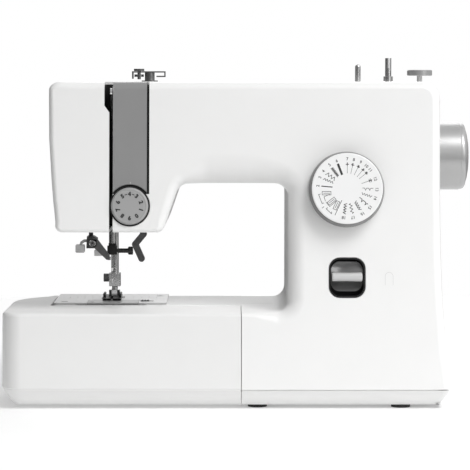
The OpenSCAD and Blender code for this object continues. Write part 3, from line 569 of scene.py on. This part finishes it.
# ---- base, free arm and tray ----
def move_edges(outline, gaps):
    """An anticlockwise outline with each of its edges moved in by its own gap."""
    made = []
    for i, point in enumerate(outline):
        before = (Vector(point) - Vector(outline[i - 1])).normalized()
        after = (Vector(outline[(i + 1) % len(outline)]) - Vector(point)).normalized()
        n1, n2 = Vector((-before.y, before.x)), Vector((-after.y, after.x))
        d1, d2 = gaps[i - 1], gaps[i]
        cross = n1.x * n2.y - n1.y * n2.x
        if abs(cross) < 0.25:
            move = (n1 + n2).normalized() * (d1 + d2) / 2
        else:
            move = Vector(((d1 * n2.y - d2 * n1.y) / cross, (n1.x * d2 - n2.x * d1) / cross))
        made.append((point[0] + move.x, point[1] + move.y))
    return made


def stack(outline, levels, shift=None, limits=None):
    """Rings of a plan outline at (inset, z) levels.
    shift(y, z) leans the front, and limits caps each edge's inset."""
    rings = []
    for inset, z in levels:
        gaps = [min(inset, cap) for cap in limits] if limits else [inset] * len(outline)
        moved = move_edges(outline, gaps)
        rings.append([(x, y + (shift(y0, z) if shift else 0), z) for (x, y), (_, y0) in zip(moved, outline)])
    return rings


def plan_arc(cx, cy, rx, ry, start, end):
    return [
        (cx + rx * math.cos(a), cy + ry * math.sin(a))
        for a in (math.radians(mix(start, end, i / ARC_STEPS)) for i in range(ARC_STEPS + 1))
    ]


def under_levels(gap):
    """The undercut below the crease: a rounded slope in to the sole."""
    shape = [(gap, 0), (0.9 + gap, 0.9), (2.6, 3.6), (5.4, 7.2), (9.0, 10.7), (undercut - 1.5, 13.0)]
    return [(inset, crease_z - drop) for inset, drop in shape] + [(undercut, sole_z)]


def make_base():
    """The pan under the right part, and its strip under the free arm."""
    outline = [(0.2, -half_depth)]
    outline += plan_arc(base_r - 8.5, -half_depth + 9, 8.5, 9, 270, 360)
    outline += plan_arc(base_r - 8, back_y - 8, 8, 8, 0, 90)
    outline += [(0.2, back_y)]
    limits = [100] * (len(outline) - 1) + [0]
    verts, faces = loft(stack(outline, under_levels(0.8), limits=limits))
    piece = build("base_pan", verts, faces, "base_white", "root", ["base_plate"])
    carve(piece, [block(-60, 1, 5, 70, sole_z, 20)], "UNION")
    rim = undercut + 4
    hollow = block(6, base_r - rim, -half_depth + rim, back_y - rim, 0, crease_z - 3)
    carve(piece, [hollow, block(-56, 2, 9, 66, 0, crease_z - 3)])
    smooth(piece)


def edge_levels(z0, z1, radius, base=0.0):
    """Levels of a rounded upright wall between two heights."""
    steps = 6
    made = []
    for i in range(steps + 1):
        turn = math.pi / 2 * i / steps
        made.append((base + radius * (1 - math.sin(turn)), z1 - radius * (1 - math.cos(turn))))
    for i in range(steps + 1):
        turn = math.pi / 2 * i / steps
        made.append((base + radius * (1 - math.cos(turn)), z0 + radius * (1 - math.sin(turn))))
    return made


def make_arm():
    """The free arm's hollow shell, open at the needle plate."""
    arm_y = arm_low.y
    outline = [(0, arm_y), (0, back_y)]
    outline += plan_arc(-157, back_y - 14, 14, 14, 90, 180)
    outline += plan_arc(-161, arm_y + 10, 10, 10, 180, 270)
    limits = [0] + [100] * (len(outline) - 1)
    verts, faces = loft(stack(outline, edge_levels(20, bed_h, 2.5), limits=limits))
    piece = build("free_arm_shell", verts, faces, "white_cover", "root", ["free_arm_cover"])
    inner = loft(stack(outline, edge_levels(22.5, bed_h - 2.5, 1.5, 2.5)))
    cuts = [inner, block(-4, 2, 4, back_y - 6, 24, bed_h - 4)]
    cuts.append(block(-150, -86, arm_y + 2.5, 64, bed_h - 5, bed_h + 1))
    cuts += [prism(circle(x, y, 1.6, 24), bed_h - 6, bed_h + 1, "z") for x, y in ((-161, 10), (-76, 60))]
    carve(piece, cuts)
    smooth(piece)


def tray_shift(y, z):
    """The tray's front leans like the covers' above the crease; the lean ends at the free arm."""
    weight = min(1, max(0, (tray_inner_y - y) / (tray_inner_y + 62)))
    return weight * max(0, z - crease_z) * math.tan(lean)


def make_tray():
    """The accessory tray: a hollow shell round the free arm, with a leg behind it."""
    inner_y = tray_inner_y
    leg_x = -172
    edge_x = -0.4
    inner_edges = [(edge_x, inner_y), (leg_x, inner_y), (leg_x, back_y), (leg_x - 6, back_y)]
    outline = inner_edges + plan_arc(base_l + 56, 24, 56, 56, 122, 180)
    outline += plan_arc(base_l + 18, -half_depth + 18, 18, 18, 180, 270) + [(edge_x, -half_depth)]
    limits = [0.4, 0.4, 0.8, 4.5, 5.5, 7.5, 10] + [100] * (len(outline) - 8) + [0.2]
    groove = [(0.0, crease_z + 1.8), (0.7, crease_z + 1.0), (0.8, crease_z)]
    levels = edge_levels(crease_z, bed_h, 3.0)[:7] + groove + under_levels(0.8)[1:]
    verts, faces = loft(stack(outline, levels, tray_shift, limits))
    piece = build("tray_shell", verts, faces, "base_white", "tray", ["accessory_tray"])
    room = [(seam_x - wall, inner_y - wall), (leg_x - wall, inner_y - wall), (leg_x - wall, 56)]
    room += plan_arc(base_l + 56, 24, 56 - wall, 56 - wall, 140, 180)
    room += plan_arc(base_l + 18, -half_depth + 18, 18 - wall, 18 - wall, 180, 270)
    room.append((seam_x - wall, -half_depth + wall))
    levels = [(0, bed_h - wall), (0, crease_z + 2), (undercut - 3, sole_z + wall)]
    cuts = [loft(stack(room, levels, tray_shift, [0, 0, 0] + [100] * (len(room) - 4) + [0]))]
    cuts.append(block(-166, seam_x - 8, inner_y - 7, inner_y + 2, sole_z + 4, bed_h - 6))
    carve(piece, cuts)
    smooth(piece)


# ---- dials, lever and wheel ----
def strip(points, width):
    """Flat ribbon along a polyline in the plane, just thick enough to be a solid."""
    verts, faces = [], []
    for (x0, y0), (x1, y1) in zip(points, points[1:]):
        along = Vector((x1 - x0, y1 - y0))
        if along.length < 1e-6:
            continue
        along.normalize()
        side = Vector((-along.y, along.x)) * width / 2
        reach = along * width / 3
        start = len(verts)
        for z in (0.0, 0.06):
            for p, s, r in (((x0, y0), -1, -1), ((x1, y1), -1, 1), ((x1, y1), 1, 1), ((x0, y0), 1, -1)):
                q = Vector(p) + side * s + reach * r
                verts.append((q.x, q.y, z))
        b = start
        faces += [(b, b + 3, b + 2, b + 1), (b + 4, b + 5, b + 6, b + 7)]
        faces += [(b + i, b + (i + 1) % 4, b + 4 + (i + 1) % 4, b + 4 + i) for i in range(4)]
    return verts, faces


def glyphs(text, height, weight=0.02):
    """Outline mesh of a short number, centred, lying in the plane."""
    curve = bpy.data.curves.new("number", "FONT")
    curve.body = text
    curve.size = height / 0.7
    curve.align_x = "CENTER"
    curve.align_y = "CENTER"
    curve.extrude = 0.03
    curve.offset = weight * height
    curve.resolution_u = 3
    holder = bpy.data.objects.new("number", curve)
    bpy.context.scene.collection.objects.link(holder)
    bpy.context.view_layer.update()
    mesh = bpy.data.meshes.new_from_object(holder.evaluated_get(bpy.context.evaluated_depsgraph_get()))
    verts = [tuple(v.co + Vector((0, 0, 0.03))) for v in mesh.vertices]
    faces = [tuple(p.vertices) for p in mesh.polygons]
    bpy.data.objects.remove(holder)
    return verts, faces


def gather(shapes):
    verts, faces = [], []
    for some_verts, some_faces in shapes:
        start = len(verts)
        verts += some_verts
        faces += [tuple(i + start for i in f) for f in some_faces]
    return verts, faces


def zigzag(r0, r1, width, teeth):
    """Zigzag along a spoke, between two radii, as (across, along) points."""
    count = 2 * teeth
    return [(width * (0.5 if i % 2 else -0.5), mix(r1, r0, i / count)) for i in range(count + 1)]


def spoke(angle):
    """Turns the plane so that +Y points at a clock angle, in degrees from the top."""
    return Matrix.Rotation(-math.radians(angle), 4, "Z")


def stitch_marks(r0, r1):
    """Each stitch's drawing, as lists of (polyline, line width) in its spoke's plane."""
    span = r1 - r0
    pin = [([(0, r0), (0, r1)], 0.3), ([(-1.2, r1 - 1.4), (1.2, r1 - 1.4)], 0.6)]
    pin.append(([(0, r1 - 2.2), (0, r1)], 0.7))
    vee = [([(-0.8, r1 - 0.4), (0.8, r1 - 1.6)], 0.45), ([(0.8, r1 - 0.4), (-0.8, r1 - 1.6)], 0.45)]
    blind = [(-0.8, r1), (-0.8, r1 - 2), (1.1, r1 - 2.9), (-0.8, r1 - 3.8), (-0.8, r1 - 5.6)]
    blind += [(1.1, r1 - 6.5), (-0.8, r1 - 7.4), (-0.8, r0)]
    shell = [(-0.9, r0), (-0.9, r0 + span * 0.3), (1.2, r0 + span * 0.38), (-0.9, r0 + span * 0.46)]
    shell += [(-0.9, r0 + span * 0.75), (1.2, r0 + span * 0.83), (-0.9, r0 + span * 0.91), (-0.9, r1)]
    curl = [
        (1.2 * math.sin(6 * math.pi * t), r0 + span * t + 0.7 * math.sin(12 * math.pi * t))
        for t in (i / 40 for i in range(41))
    ]
    return {
        2: [([(0, r0), (0, r1)], 0.85)],
        3: [(zigzag(r0, r1, 1.6, 4), 0.5)],
        4: [(zigzag(r0, r1, 3.0, 3), 0.5)],
        5: [(zigzag(r0, r1, 2.2, 8), 0.5)],
        6: [([(0, r0), (0, r1)], 1.9)],
        7: pin,
        8: pin + vee[:1],
        9: pin + vee,
        10: pin + vee[1:],
        11: pin + vee,
        12: [([(0, r0), (0, r1)], 0.35), ([(-1.4, r1 - 0.6), (1.4, r1 - 0.6)], 0.5)]
        + [([(-1.4, r1 - 2), (1.4, r1 - 2)], 0.5), ([(0, r1 - 2.5), (0, r1)], 0.8)],
        13: [(blind, 0.42)],
        14: [(zigzag(r0, r1, 1.8, 4), 0.42)],
        15: [(shell, 0.6)],
        16: [(zigzag(r0, r1 - 0.5, 2.2, 4), 0.5), ([(1.1, r0 + 1), (1.1, r1 - 2)], 0.35)],
        17: [(curl, 0.4)],
        18: [(zigzag(r0, r1, 2.3, 4), 0.6)],
    }


STITCH_ANGLES = {7: 0, 8: 13, 9: 27, 10: 40, 11: 51, 12: 71, 13: 92, 14: 109, 15: 130, 16: 149, 17: 169}
STITCH_ANGLES.update({18: 187, 2: 275, 3: 292, 4: 306, 5: 323, 6: 339})


def buttonhole_marks():
    """The four steps of a buttonhole, drawn between the separator and the straight stitch."""
    def at(angle, r):
        """A point at a clock angle and a radius."""
        return r * math.sin(math.radians(angle)), r * math.cos(math.radians(angle))

    lines = [([at(205, 11.5), at(205, 25.5)], 0.5)]
    for angle, tilt in ((213, 205), (231, 231), (257, 270)):
        centre, r = at(angle, 17.5 if angle != 257 else 18.5), math.radians(tilt)
        out, across = Vector((math.sin(r), math.cos(r))), Vector((math.cos(r), -math.sin(r)))
        ring = [(-1.5, -3.8), (1.5, -3.8), (1.5, 3.8), (-1.5, 3.8), (-1.5, -3.8)]
        for shape in (ring, [(0, -2.6), (0, 2.6)]):
            lines.append(([tuple(Vector(centre) + across * a + out * b) for a, b in shape], 0.42))
    lines.append(([at(214, 24.5), at(212, 26), at(226, 25.5), at(226, 24)], 0.45))
    lines.append(([at(238, 24), at(239, 25.5), at(258, 25.5), at(258, 24)], 0.45))
    lines.append(([at(221, 14), at(224, 22), at(237, 22)], 0.4))
    lines.append(([at(240, 22), at(250, 21.5), at(252, 16)], 0.4))
    return lines


def make_stitch_dial():
    """A white cap with the printed stitches, on a ribbed grey skirt: its grey is partly the skirt's own
    colour and partly painted shade, darker than its lit side.
    """
    place = face_place(stitch_x, stitch_z)
    top = 0.6 + dial_h
    edge = top - 3.2
    profile = [(5.05, 3.0), (dial_r - 0.5, 3.0), (dial_r - 0.1, edge)]
    profile += [(dial_r, edge + 0.5), (dial_r, top - 1.0)]
    for i in range(7):
        turn = math.pi / 2 * i / 6
        profile.append((dial_r - 1.0 + 1.0 * math.cos(turn), top - 1.0 + 1.0 * math.sin(turn)))
    profile += [(dial_r - 2.4, top), (dial_r - 2.8, top - 0.12), (0, top - 0.12)]
    verts, faces = lathe([(0, 3.0), *profile], 128, place)
    dial = build("stitch_dial_cap", verts, faces, "dial_white", "stitch_selector", ["stitch_dial"])
    carve(dial, [placed(prism(circle(0, 0, 5, 48), -2, 10, "z"), place)])
    smooth(dial, 30)
    ribs = 180
    rings = []
    for grow, height in ((-1.0, edge), (0.4, edge), (2.1, 1.6), (1.8, 0.6), (-1.0, 0.6)):
        rib = 0.12 if grow > 0 else 0
        ring = []
        for i in range(2 * ribs):
            r, a = dial_r + grow + rib * (i % 2), math.pi * i / ribs
            ring.append((r * math.cos(a), r * math.sin(a), height))
        rings.append(ring)
    # The skirt's dark grey is partly its colour and partly painted shade.
    skirt = build("stitch_dial_skirt", *placed(tube(rings), place), "knurled_grey", "stitch_selector")
    smooth(skirt, 40)
    shapes = []
    for number, lines in stitch_marks(mark_in, mark_out).items():
        turn = spoke(STITCH_ANGLES[number])
        shapes += [placed(strip(points, width), turn) for points, width in lines]
    for number, angle in STITCH_ANGLES.items():
        turn = spoke(angle) @ Matrix.Translation((0, number_r, 0))
        shapes.append(placed(glyphs(str(number), 2.6), turn))
    shapes.append(placed(glyphs("1", 2.4), spoke(232) @ Matrix.Translation((0, 26.6, 0))))
    shapes += [strip(points, width) for points, width in buttonhole_marks()]
    verts, faces = gather(shapes)
    lift = place @ Matrix.Translation((0, 0, top - 0.12))
    build("stitch_dial_print", *placed((verts, faces), lift), "print", "stitch_selector")


def make_tension_dial():
    """The tension dial in its gap, darkened by a black ring of painted shade, with its numbers, arc and index
    mark.
    """
    place = face_place(tension_x, tension_z)
    r = tension_r
    top = 3.2
    profile = [(0, -8), (r, -8), (r, top - 1.6), (r - 0.4, top - 0.8), (r - 1.4, top + 0.1)]
    profile += [(r - 1.8, top + 0.15), (r - 2.1, top + 0.1), (r - 2.3, top), (0, top)]
    verts, faces = lathe(profile, 96, place)
    dial = build("tension_dial_cap", verts, faces, "grey_dial", "tension_knob", ["tension_dial"])
    carve(dial, [placed(prism(circle(0, 0, 3.04, 40), -9, -3, "z"), place)])
    smooth(dial, 25)
    # A near-black ring at the floor of the gap round the dial: painted shade for the gap's dark depth.
    inner_r, outer_r = r + 0.3, r + tension_gap - 0.05
    ring = turned_ring([(inner_r, -7), (inner_r, -0.6), (outer_r, -0.6), (outer_r, -7)], place)
    build("tension_dial_gap", *ring, "deep_black", "root")
    lift = place @ Matrix.Translation((0, 0, top))
    dark = []
    for number in range(10):
        angle = (4 - number) * 36
        turn = spoke(angle) @ Matrix.Translation((0, 10.4, 0))
        dark.append(placed(glyphs(str(number), 3.4, 0.09), turn))
    for angle in (-18, 18):
        dark.append(placed(strip([(-0.9, 10.4), (0.9, 10.4)], 0.7), spoke(angle)))
    arc_points = [
        (12.8 * math.sin(math.radians(a)), 12.8 * math.cos(math.radians(a))) for a in range(-20, 110, 5)
    ]
    build("tension_dial_numbers", *placed(gather(dark), lift), "print", "tension_knob")
    build("tension_dial_arc", *placed(strip(arc_points, 0.3), lift), "faint_print", "tension_knob")
    spot = face_place(tension_x + 0.6, tension_z + 19.6)
    build("tension_index", *placed(strip([(0, 0), (0, 1.2)], 0.8), spot), "faint_print", "root")


def evenly(outline, count):
    """A closed outline walked in equal steps."""
    points = [Vector(p) for p in outline] + [Vector(outline[0])]
    lengths = [(q - p).length for p, q in zip(points, points[1:])]
    total, made, edge, passed = sum(lengths), [], 0, 0.0
    for i in range(count):
        goal = total * i / count
        while passed + lengths[edge] < goal:
            passed += lengths[edge]
            edge += 1
        made.append(tuple(points[edge].lerp(points[edge + 1], (goal - passed) / max(lengths[edge], 1e-9))))
    return made


def make_reverse_lever():
    """The thumb lever: a scooped upper half, a ridge painted light grey as a painted highlight, and a lower
    half that dips in.
    """
    half_w, half_h, corner, lift = 13.9, 12.95, 7.6, 0.65
    outline = evenly(round_rect(0, lift, 2 * half_w, 2 * half_h, corner, 14), 144)
    y0 = front_y(reverse_z)
    back = y0 + 12.2
    rings_n = 30

    def eased(t):
        t = min(1, max(0, t))
        return t * t * (3 - 2 * t)

    def depth(x, z):
        """Depth behind the face: positive goes in."""
        upper = 3.0 + 3.6 * eased((z - 3) / 10)
        scoop = 2.2 * math.exp(-(((x + 4) / 8) ** 2) - ((z - 8) / 4) ** 2)
        lower = 9.6 - 4.6 * eased((-4 - z) / 10)
        return mix(lower, upper + scoop, eased((z + 1.0) / 1.6))

    def rear(z):
        """The back rises towards the lower edge, so a pressed lever clears the recess floor."""
        return back + 0.22 * min(0, z + 2)

    rings = []
    for k in range(rings_n, 0, -1):
        share = k / rings_n
        rings.append([(x * share, y0 + depth(x * share, z * share), z * share) for x, z in outline])
    rings = [[(x * t, rear(z * t), z * t) for x, z in outline] for t in (0.9, 1)] + rings
    place = Matrix.Translation((reverse_x, 0, reverse_z))
    piece = build(
        "reverse_thumb_lever", *placed(loft(rings), place), "lever_grey", "reverse", ["reverse_lever"]
    )
    arm = block(reverse_x - 3.5, reverse_x + 3.5, back - 0.5, y0 + 26, reverse_z - 2, reverse_z + 3)
    carve(piece, [arm], "UNION")
    smooth(piece, 50)
    # The ridge's light grey is a painted highlight: it stands for the light caught along its crest.
    ends = [(-13.2, 0.55), (-12.9, 0.9), (-12.2, 1), (0, 0.97), (12.2, 1.06), (13.0, 0.95), (13.3, 0.55)]
    section = round_rect(y0 + 1.6, 0.7, 10.4, 7.2, 3.3)
    rings = [
        [(x, y0 + 1.6 + (y - y0 - 1.6) * t, 0.7 + (z - 0.7) * t) for y, z in section] for x, t in ends
    ]
    ridge = build("reverse_lever_ridge", *placed(loft(rings), place), "light_grey", "reverse")
    smooth(ridge, 50)
    sign = [(-3.4, -5.5)] + [(x, y + 2.2) for x, y in circle(0, 0, 3.4, 24)[12::-1]] + [(3.4, -5.5)]
    spot = face_place(128.6, 113.7)
    build("reverse_sign", *placed(strip(sign, 0.35), spot), "pale_print", "root")


def make_hand_wheel():
    """The hand wheel: a hollow rim with a bulged end and a small cap in its middle."""
    low, high = box("hand_wheel")
    radius = (high.z - low.z) / 2
    turn = Matrix.Translation((low.x, shaft_y, shaft_z)) @ Matrix.Rotation(math.pi / 2, 4, "Y")
    width = high.x - low.x
    profile = [(5, 12), (radius - 4, 12), (radius - 4, 0.3), (radius - 3.6, 0)]
    profile += [(radius - 2, 0), (radius - 0.4, 0.8), (radius, 2)]
    profile += [(radius, width - 9.0), (radius - 0.5, width - 8.4), (radius - 0.5, width - 7.9)]
    for i in range(9):
        t = math.pi / 2 * i / 8
        profile.append((radius - 4.0 + 3.5 * math.cos(t), width - 7.6 + 4.0 * math.sin(t)))
    profile += [(radius - 8, width - 2.3), (radius - 14, width - 1.1), (radius - 21, width - 0.3), (5, width)]
    rim = turned_ring(profile, turn, 128)
    piece = build("hand_wheel_rim", *rim, "silver_plastic", "drive", ["hand_wheel"])
    smooth(piece, 30)
    hub = [(0, width - 1.2), (4.6, width - 1.2), (4.6, width - 0.3), (4.2, width), (0, width)]
    cap = build("hand_wheel_cap", *lathe(hub, 48, turn), "silver_plastic", "drive")
    smooth(cap)


def make_threader():
    """The needle threader: a dark block on its rod, a round screw, a sloping arm and a light tab."""
    x, y = threader_x, threader_y
    body = [(x - 3.6, 133), (x + 4, 133), (x + 6.2, 136), (x + 6.2, 142), (x + 3, 144), (x - 3, 144)]
    arm = [(x + 4, 141), (x + 7, 141), (x + 17.6, 127), (x + 18, 122.4), (x + 15, 122.4), (x + 4, 133)]
    link = [(x - 2, 141), (x - 6, 141), (x - 9, 139), (x - 10.4, 135), (x - 8.6, 135)]
    link += [(x - 7, 137.4), (x - 5, 138.6), (x - 2, 138.4)]
    parts = {
        "threader_rod": ("dark_plastic", prism(circle(x, shaft_y, 2, 32), 140, 175, "z")),
        "threader_block": ("dark_plastic", prism(body, y, 35)),
        "threader_arm": ("soft_dark", prism(arm, y, 23)),
        "threader_foot": ("light_grey", block(x + 3.6, x + 10.6, 20.5, 26, 126, 131.4)),
        "threader_hook": ("steel", block(x + 16, x + 18.6, 23, 26.5, 122, 125)),
        "threader_link": ("grey_dial", prism(link, 22.5, 25)),
        "threader_tab": ("light_grey", prism(round_rect(x - 9.4, 132.6, 8.4, 7.4, 1.2), 21, 27)),
    }
    for name, (look, shape) in parts.items():
        stands_for = ["needle_threader"] if name == "threader_block" else []
        piece = build(name, *shape, look, "threader", stands_for, 0.35)
        smooth(piece)
    face = Matrix.Translation((x + 2.2, y, 138)) @ Matrix.Rotation(math.pi / 2, 4, "X")
    screw = lathe([(0, -1), (3.1, -1), (3.1, 1.6), (2.6, 2.1), (2.1, 2.1), (1.8, 1.5), (0, 1.5)], 48, face)
    smooth(build("threader_screw", *screw, "chrome", "threader"), 30)
    # A dark disc sunk in the screw head's recess: painted shade standing for the dark of its slot.
    centre = lathe([(0, 1.2), (1.2, 1.2), (1.2, 1.8), (0, 1.8)], 24, face)
    smooth(build("threader_screw_slot", *centre, "dark_plastic", "threader"), 30)


def make_clamp_screw():
    """The needle clamp's screw: a shank and a knurled knob."""
    place = Matrix.Translation((needle_x, shaft_y, 130)) @ Matrix.Rotation(math.pi / 2, 4, "Y")
    profile = [(0, 1.1), (1.5, 1.1), (1.5, 5), (2.1, 5), (2.1, 14.2), (3.2, 14.6), (3.8, 15.2), (3.8, 18.6)]
    profile += [(3.3, 19), (0, 19)]
    shape = lathe(profile, 48, place)
    screw = build("clamp_thumb_screw", *shape, "black_plastic", "needle_screw", ["clamp_screw"])
    smooth(screw, 30)


def make_foot_cheeks():
    """Raised sides of the presser foot."""
    plate_z = bed_h + 1.8
    for name, side in (("left", -1), ("right", 1)):
        x = needle_x + side * 7.3
        cheek = block(x - 1.1, x + 1.1, 27, 43, plate_z + 2.6, plate_z + 5.8)
        smooth(build(f"foot_cheek_{name}", *cheek, "black_plastic", "foot", (), 0.8))


def make_winder_stop():
    """The bobbin winder's stop: a light disc on a white stem."""
    low, high = box("winder_stop")
    x, y, r = (low.x + high.x) / 2, (low.y + high.y) / 2, (high.x - low.x) / 2
    place = Matrix.Translation((x, y, 0))
    under = high.z - 5.2
    disc = [(0, under), (r - 0.6, under), (r, high.z - 4.6), (r, high.z - 0.6)]
    disc += [(r - 0.6, high.z), (0, high.z)]
    piece = build("winder_stop_disc", *lathe(disc, 64, place), "silver_plastic", "root", ["winder_stop"])
    smooth(piece, 30)
    stem = lathe([(0, low.z), (2.4, low.z), (2.4, under), (0, under)], 48, place)
    smooth(build("winder_stop_stem", *stem, "white_cover", "root"), 30)


# ---- CAD nodes that stay ----
KEPT = {
    "cast_frame": ("cast_alloy", 0.0),
    "cover_screws": ("steel", 0.2),
    "rubber_feet": ("rubber", 0.4),
    "needle_plate": ("plate_steel", 0.25),
    "plate_screws": ("steel", 0.2),
    "bobbin_cover": ("silver_plastic", 0.25),
    "release_button": ("black_plastic", 0.2),
    "slot_liner": ("deep_black", 0.0),
    "tension_discs": ("chrome", 0.1),
    "thread_guide": ("dark_steel", 0.25),
    "guide_screw": ("dark_steel", 0.15),
    "spool_pin": ("steel", 0.3),
    "winder_base": ("chrome", 0.3),
    "winder_spindle": ("chrome", 0.3),
    "carrying_handle": ("base_white", 0.8),
    "main_shaft": ("steel", 0.3),
    "shaft_pulleys": ("nylon", 0.2),
    "shaft_bushes": ("bronze", 0.2),
    "crank": ("cast_alloy", 0.3),
    "needle_bar_link": ("cast_alloy", 0.2),
    "take_up_lever": ("chrome", 0.25),
    "needle_bar_frame": ("cast_alloy", 0.0),
    "needle_bar": ("chrome", 0.2),
    "needle_clamp": ("deep_black", 0.25),
    "needle": ("chrome", 0.0),
    "presser_bar": ("chrome", 0.2),
    "presser_spring": ("steel", 0.0),
    "presser_bracket": ("cast_alloy", 0.3),
    "foot_holder": ("chrome", 0.3),
    "foot_screw": ("dark_steel", 0.15),
    "presser_foot": ("black_plastic", 0.25),
    "lifter_lever": ("soft_dark", 0.8),
    "timing_belt": ("rubber", 0.0),
    "lower_shaft": ("steel", 0.2),
    "hook": ("chrome", 0.2),
    "bobbin_case": ("black_plastic", 0.2),
    "bobbin": ("clear", 0.2),
    "motor": ("cast_alloy", 0.5),
    "motor_pulley": ("nylon", 0.2),
    "motor_belt": ("rubber", 0.0),
    "stitch_cams": ("nylon", 0.3),
    "reverse_bezel": ("deep_black", 0.0),
    "feed_dog": ("steel", 0.0),
    "lamp": ("lens", 0.4),
    "inlet_socket": ("black_plastic", 0.3),
    "power_switch": ("black_plastic", 0.4),
}


def finish_kept():
    """Materials and softened edges for the CAD nodes that are shown."""
    for name, (look, width) in KEPT.items():
        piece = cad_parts[name]
        while len(piece.material_slots) < 1:
            piece.data.materials.append(None)
        for s in piece.material_slots:
            s.material = LOOK[look]
        if width:
            soften(piece, width, 40)
        for polygon in piece.data.polygons:
            polygon.use_smooth = True
        normals = piece.modifiers.new("face_normals", "WEIGHTED_NORMAL")
        normals.keep_sharp = True
        smooth_edges(piece)


def smooth_edges(piece):
    """Marks the edges of a CAD node that are sharper than the usual angle."""
    made = bmesh.new()
    made.from_mesh(piece.data)
    sharp = []
    for edge in made.edges:
        sharp.append(len(edge.link_faces) != 2 or edge.calc_face_angle(0) > math.radians(SHARP_ANGLE))
    made.free()
    for edge, is_sharp in zip(piece.data.edges, sharp):
        edge.use_edge_sharp = is_sharp


# ---- stage, lights and camera ----
def make_stage():
    """A plain pale floor under the machine."""
    mesh = bpy.data.meshes.new("studio_floor")
    made = bmesh.new()
    bmesh.ops.create_circle(made, cap_ends=True, segments=96, radius=0.9)
    made.to_mesh(mesh)
    made.free()
    floor = bpy.data.objects.new("studio_floor", mesh)
    bpy.context.scene.collection.objects.link(floor)
    paper = material("pale_floor", grey(0.8), 0.7, grain=60, bump=0.0, shade=0.004)
    shader = paper.node_tree.nodes["Principled BSDF"]
    shader.inputs["Emission Color"].default_value = (1, 1, 1, 1)
    shader.inputs["Emission Strength"].default_value = 0.22
    floor.data.materials.append(paper)


SKY_LOW, SKY_HIGH = 0.05, 0.55
SKY_LEFT, SKY_RIGHT = 0.5, 1.55
LIGHTS = (
    ("key_light", (0.9, -1.0, 1.7), 1.0, 25),
    ("side_light", (1.0, -1.1, 0.6), 0.7, 2),
    ("rear_light", (0.1, 1.3, 0.9), 1.0, 4),
)


def make_lights():
    """An even pale sky, brighter on the right, and three soft lamps."""
    scene = bpy.context.scene
    world = bpy.data.worlds.new("soft_studio")
    scene.world = world
    world.use_nodes = True
    nodes, links = world.node_tree.nodes, world.node_tree.links
    nodes["Background"].inputs["Color"].default_value = (1, 1, 1, 1)
    place = nodes.new("ShaderNodeTexCoord")
    split = nodes.new("ShaderNodeSeparateXYZ")
    links.new(place.outputs["Generated"], split.inputs["Vector"])
    height = nodes.new("ShaderNodeMapRange")
    height.inputs["From Min"].default_value = -0.1
    height.inputs["From Max"].default_value = 0.15
    height.inputs["To Min"].default_value = SKY_LOW
    height.inputs["To Max"].default_value = SKY_HIGH
    links.new(split.outputs["Z"], height.inputs["Value"])
    side = nodes.new("ShaderNodeMapRange")
    side.inputs["From Min"].default_value = -0.7
    side.inputs["From Max"].default_value = 0.7
    side.inputs["To Min"].default_value = SKY_LEFT
    side.inputs["To Max"].default_value = SKY_RIGHT
    links.new(split.outputs["X"], side.inputs["Value"])
    both = nodes.new("ShaderNodeMath")
    both.operation = "MULTIPLY"
    links.new(height.outputs["Result"], both.inputs[0])
    links.new(side.outputs["Result"], both.inputs[1])
    seen = nodes.new("ShaderNodeLightPath")
    level = nodes.new("ShaderNodeMapRange")
    level.inputs["To Max"].default_value = 1.0
    links.new(both.outputs["Value"], level.inputs["To Min"])
    links.new(seen.outputs["Is Camera Ray"], level.inputs["Value"])
    links.new(level.outputs["Result"], nodes["Background"].inputs["Strength"])
    scene.view_settings.view_transform = "Standard"
    target = Vector((0, 0, 0.15))
    for name, at, size, power in LIGHTS:
        lamp = bpy.data.lights.new(name, "AREA")
        lamp.shape = "DISK"
        lamp.size = size
        lamp.energy = power
        holder = bpy.data.objects.new(name, lamp)
        holder.location = at
        holder.rotation_euler = (target - Vector(at)).to_track_quat("-Z", "Y").to_euler()
        scene.collection.objects.link(holder)


def make_camera():
    """A long lens in front of the machine, a little above the middle."""
    view = bpy.data.cameras.new("camera")
    view.sensor_width = 36
    view.lens = 156.3
    holder = bpy.data.objects.new("camera", view)
    holder.location = (-0.0057, -1.838, 0.285)
    holder.rotation_euler = (math.radians(90 - 4.3), 0, 0)
    bpy.context.scene.collection.objects.link(holder)
    bpy.context.scene.camera = holder


make_covers()
make_handle_pocket()
make_base()
make_arm()
make_tray()
make_stitch_dial()
make_tension_dial()
make_reverse_lever()
make_hand_wheel()
make_threader()
make_clamp_screw()
make_foot_cheeks()
make_winder_stop()
finish_kept()
make_stage()
make_lights()
make_camera()
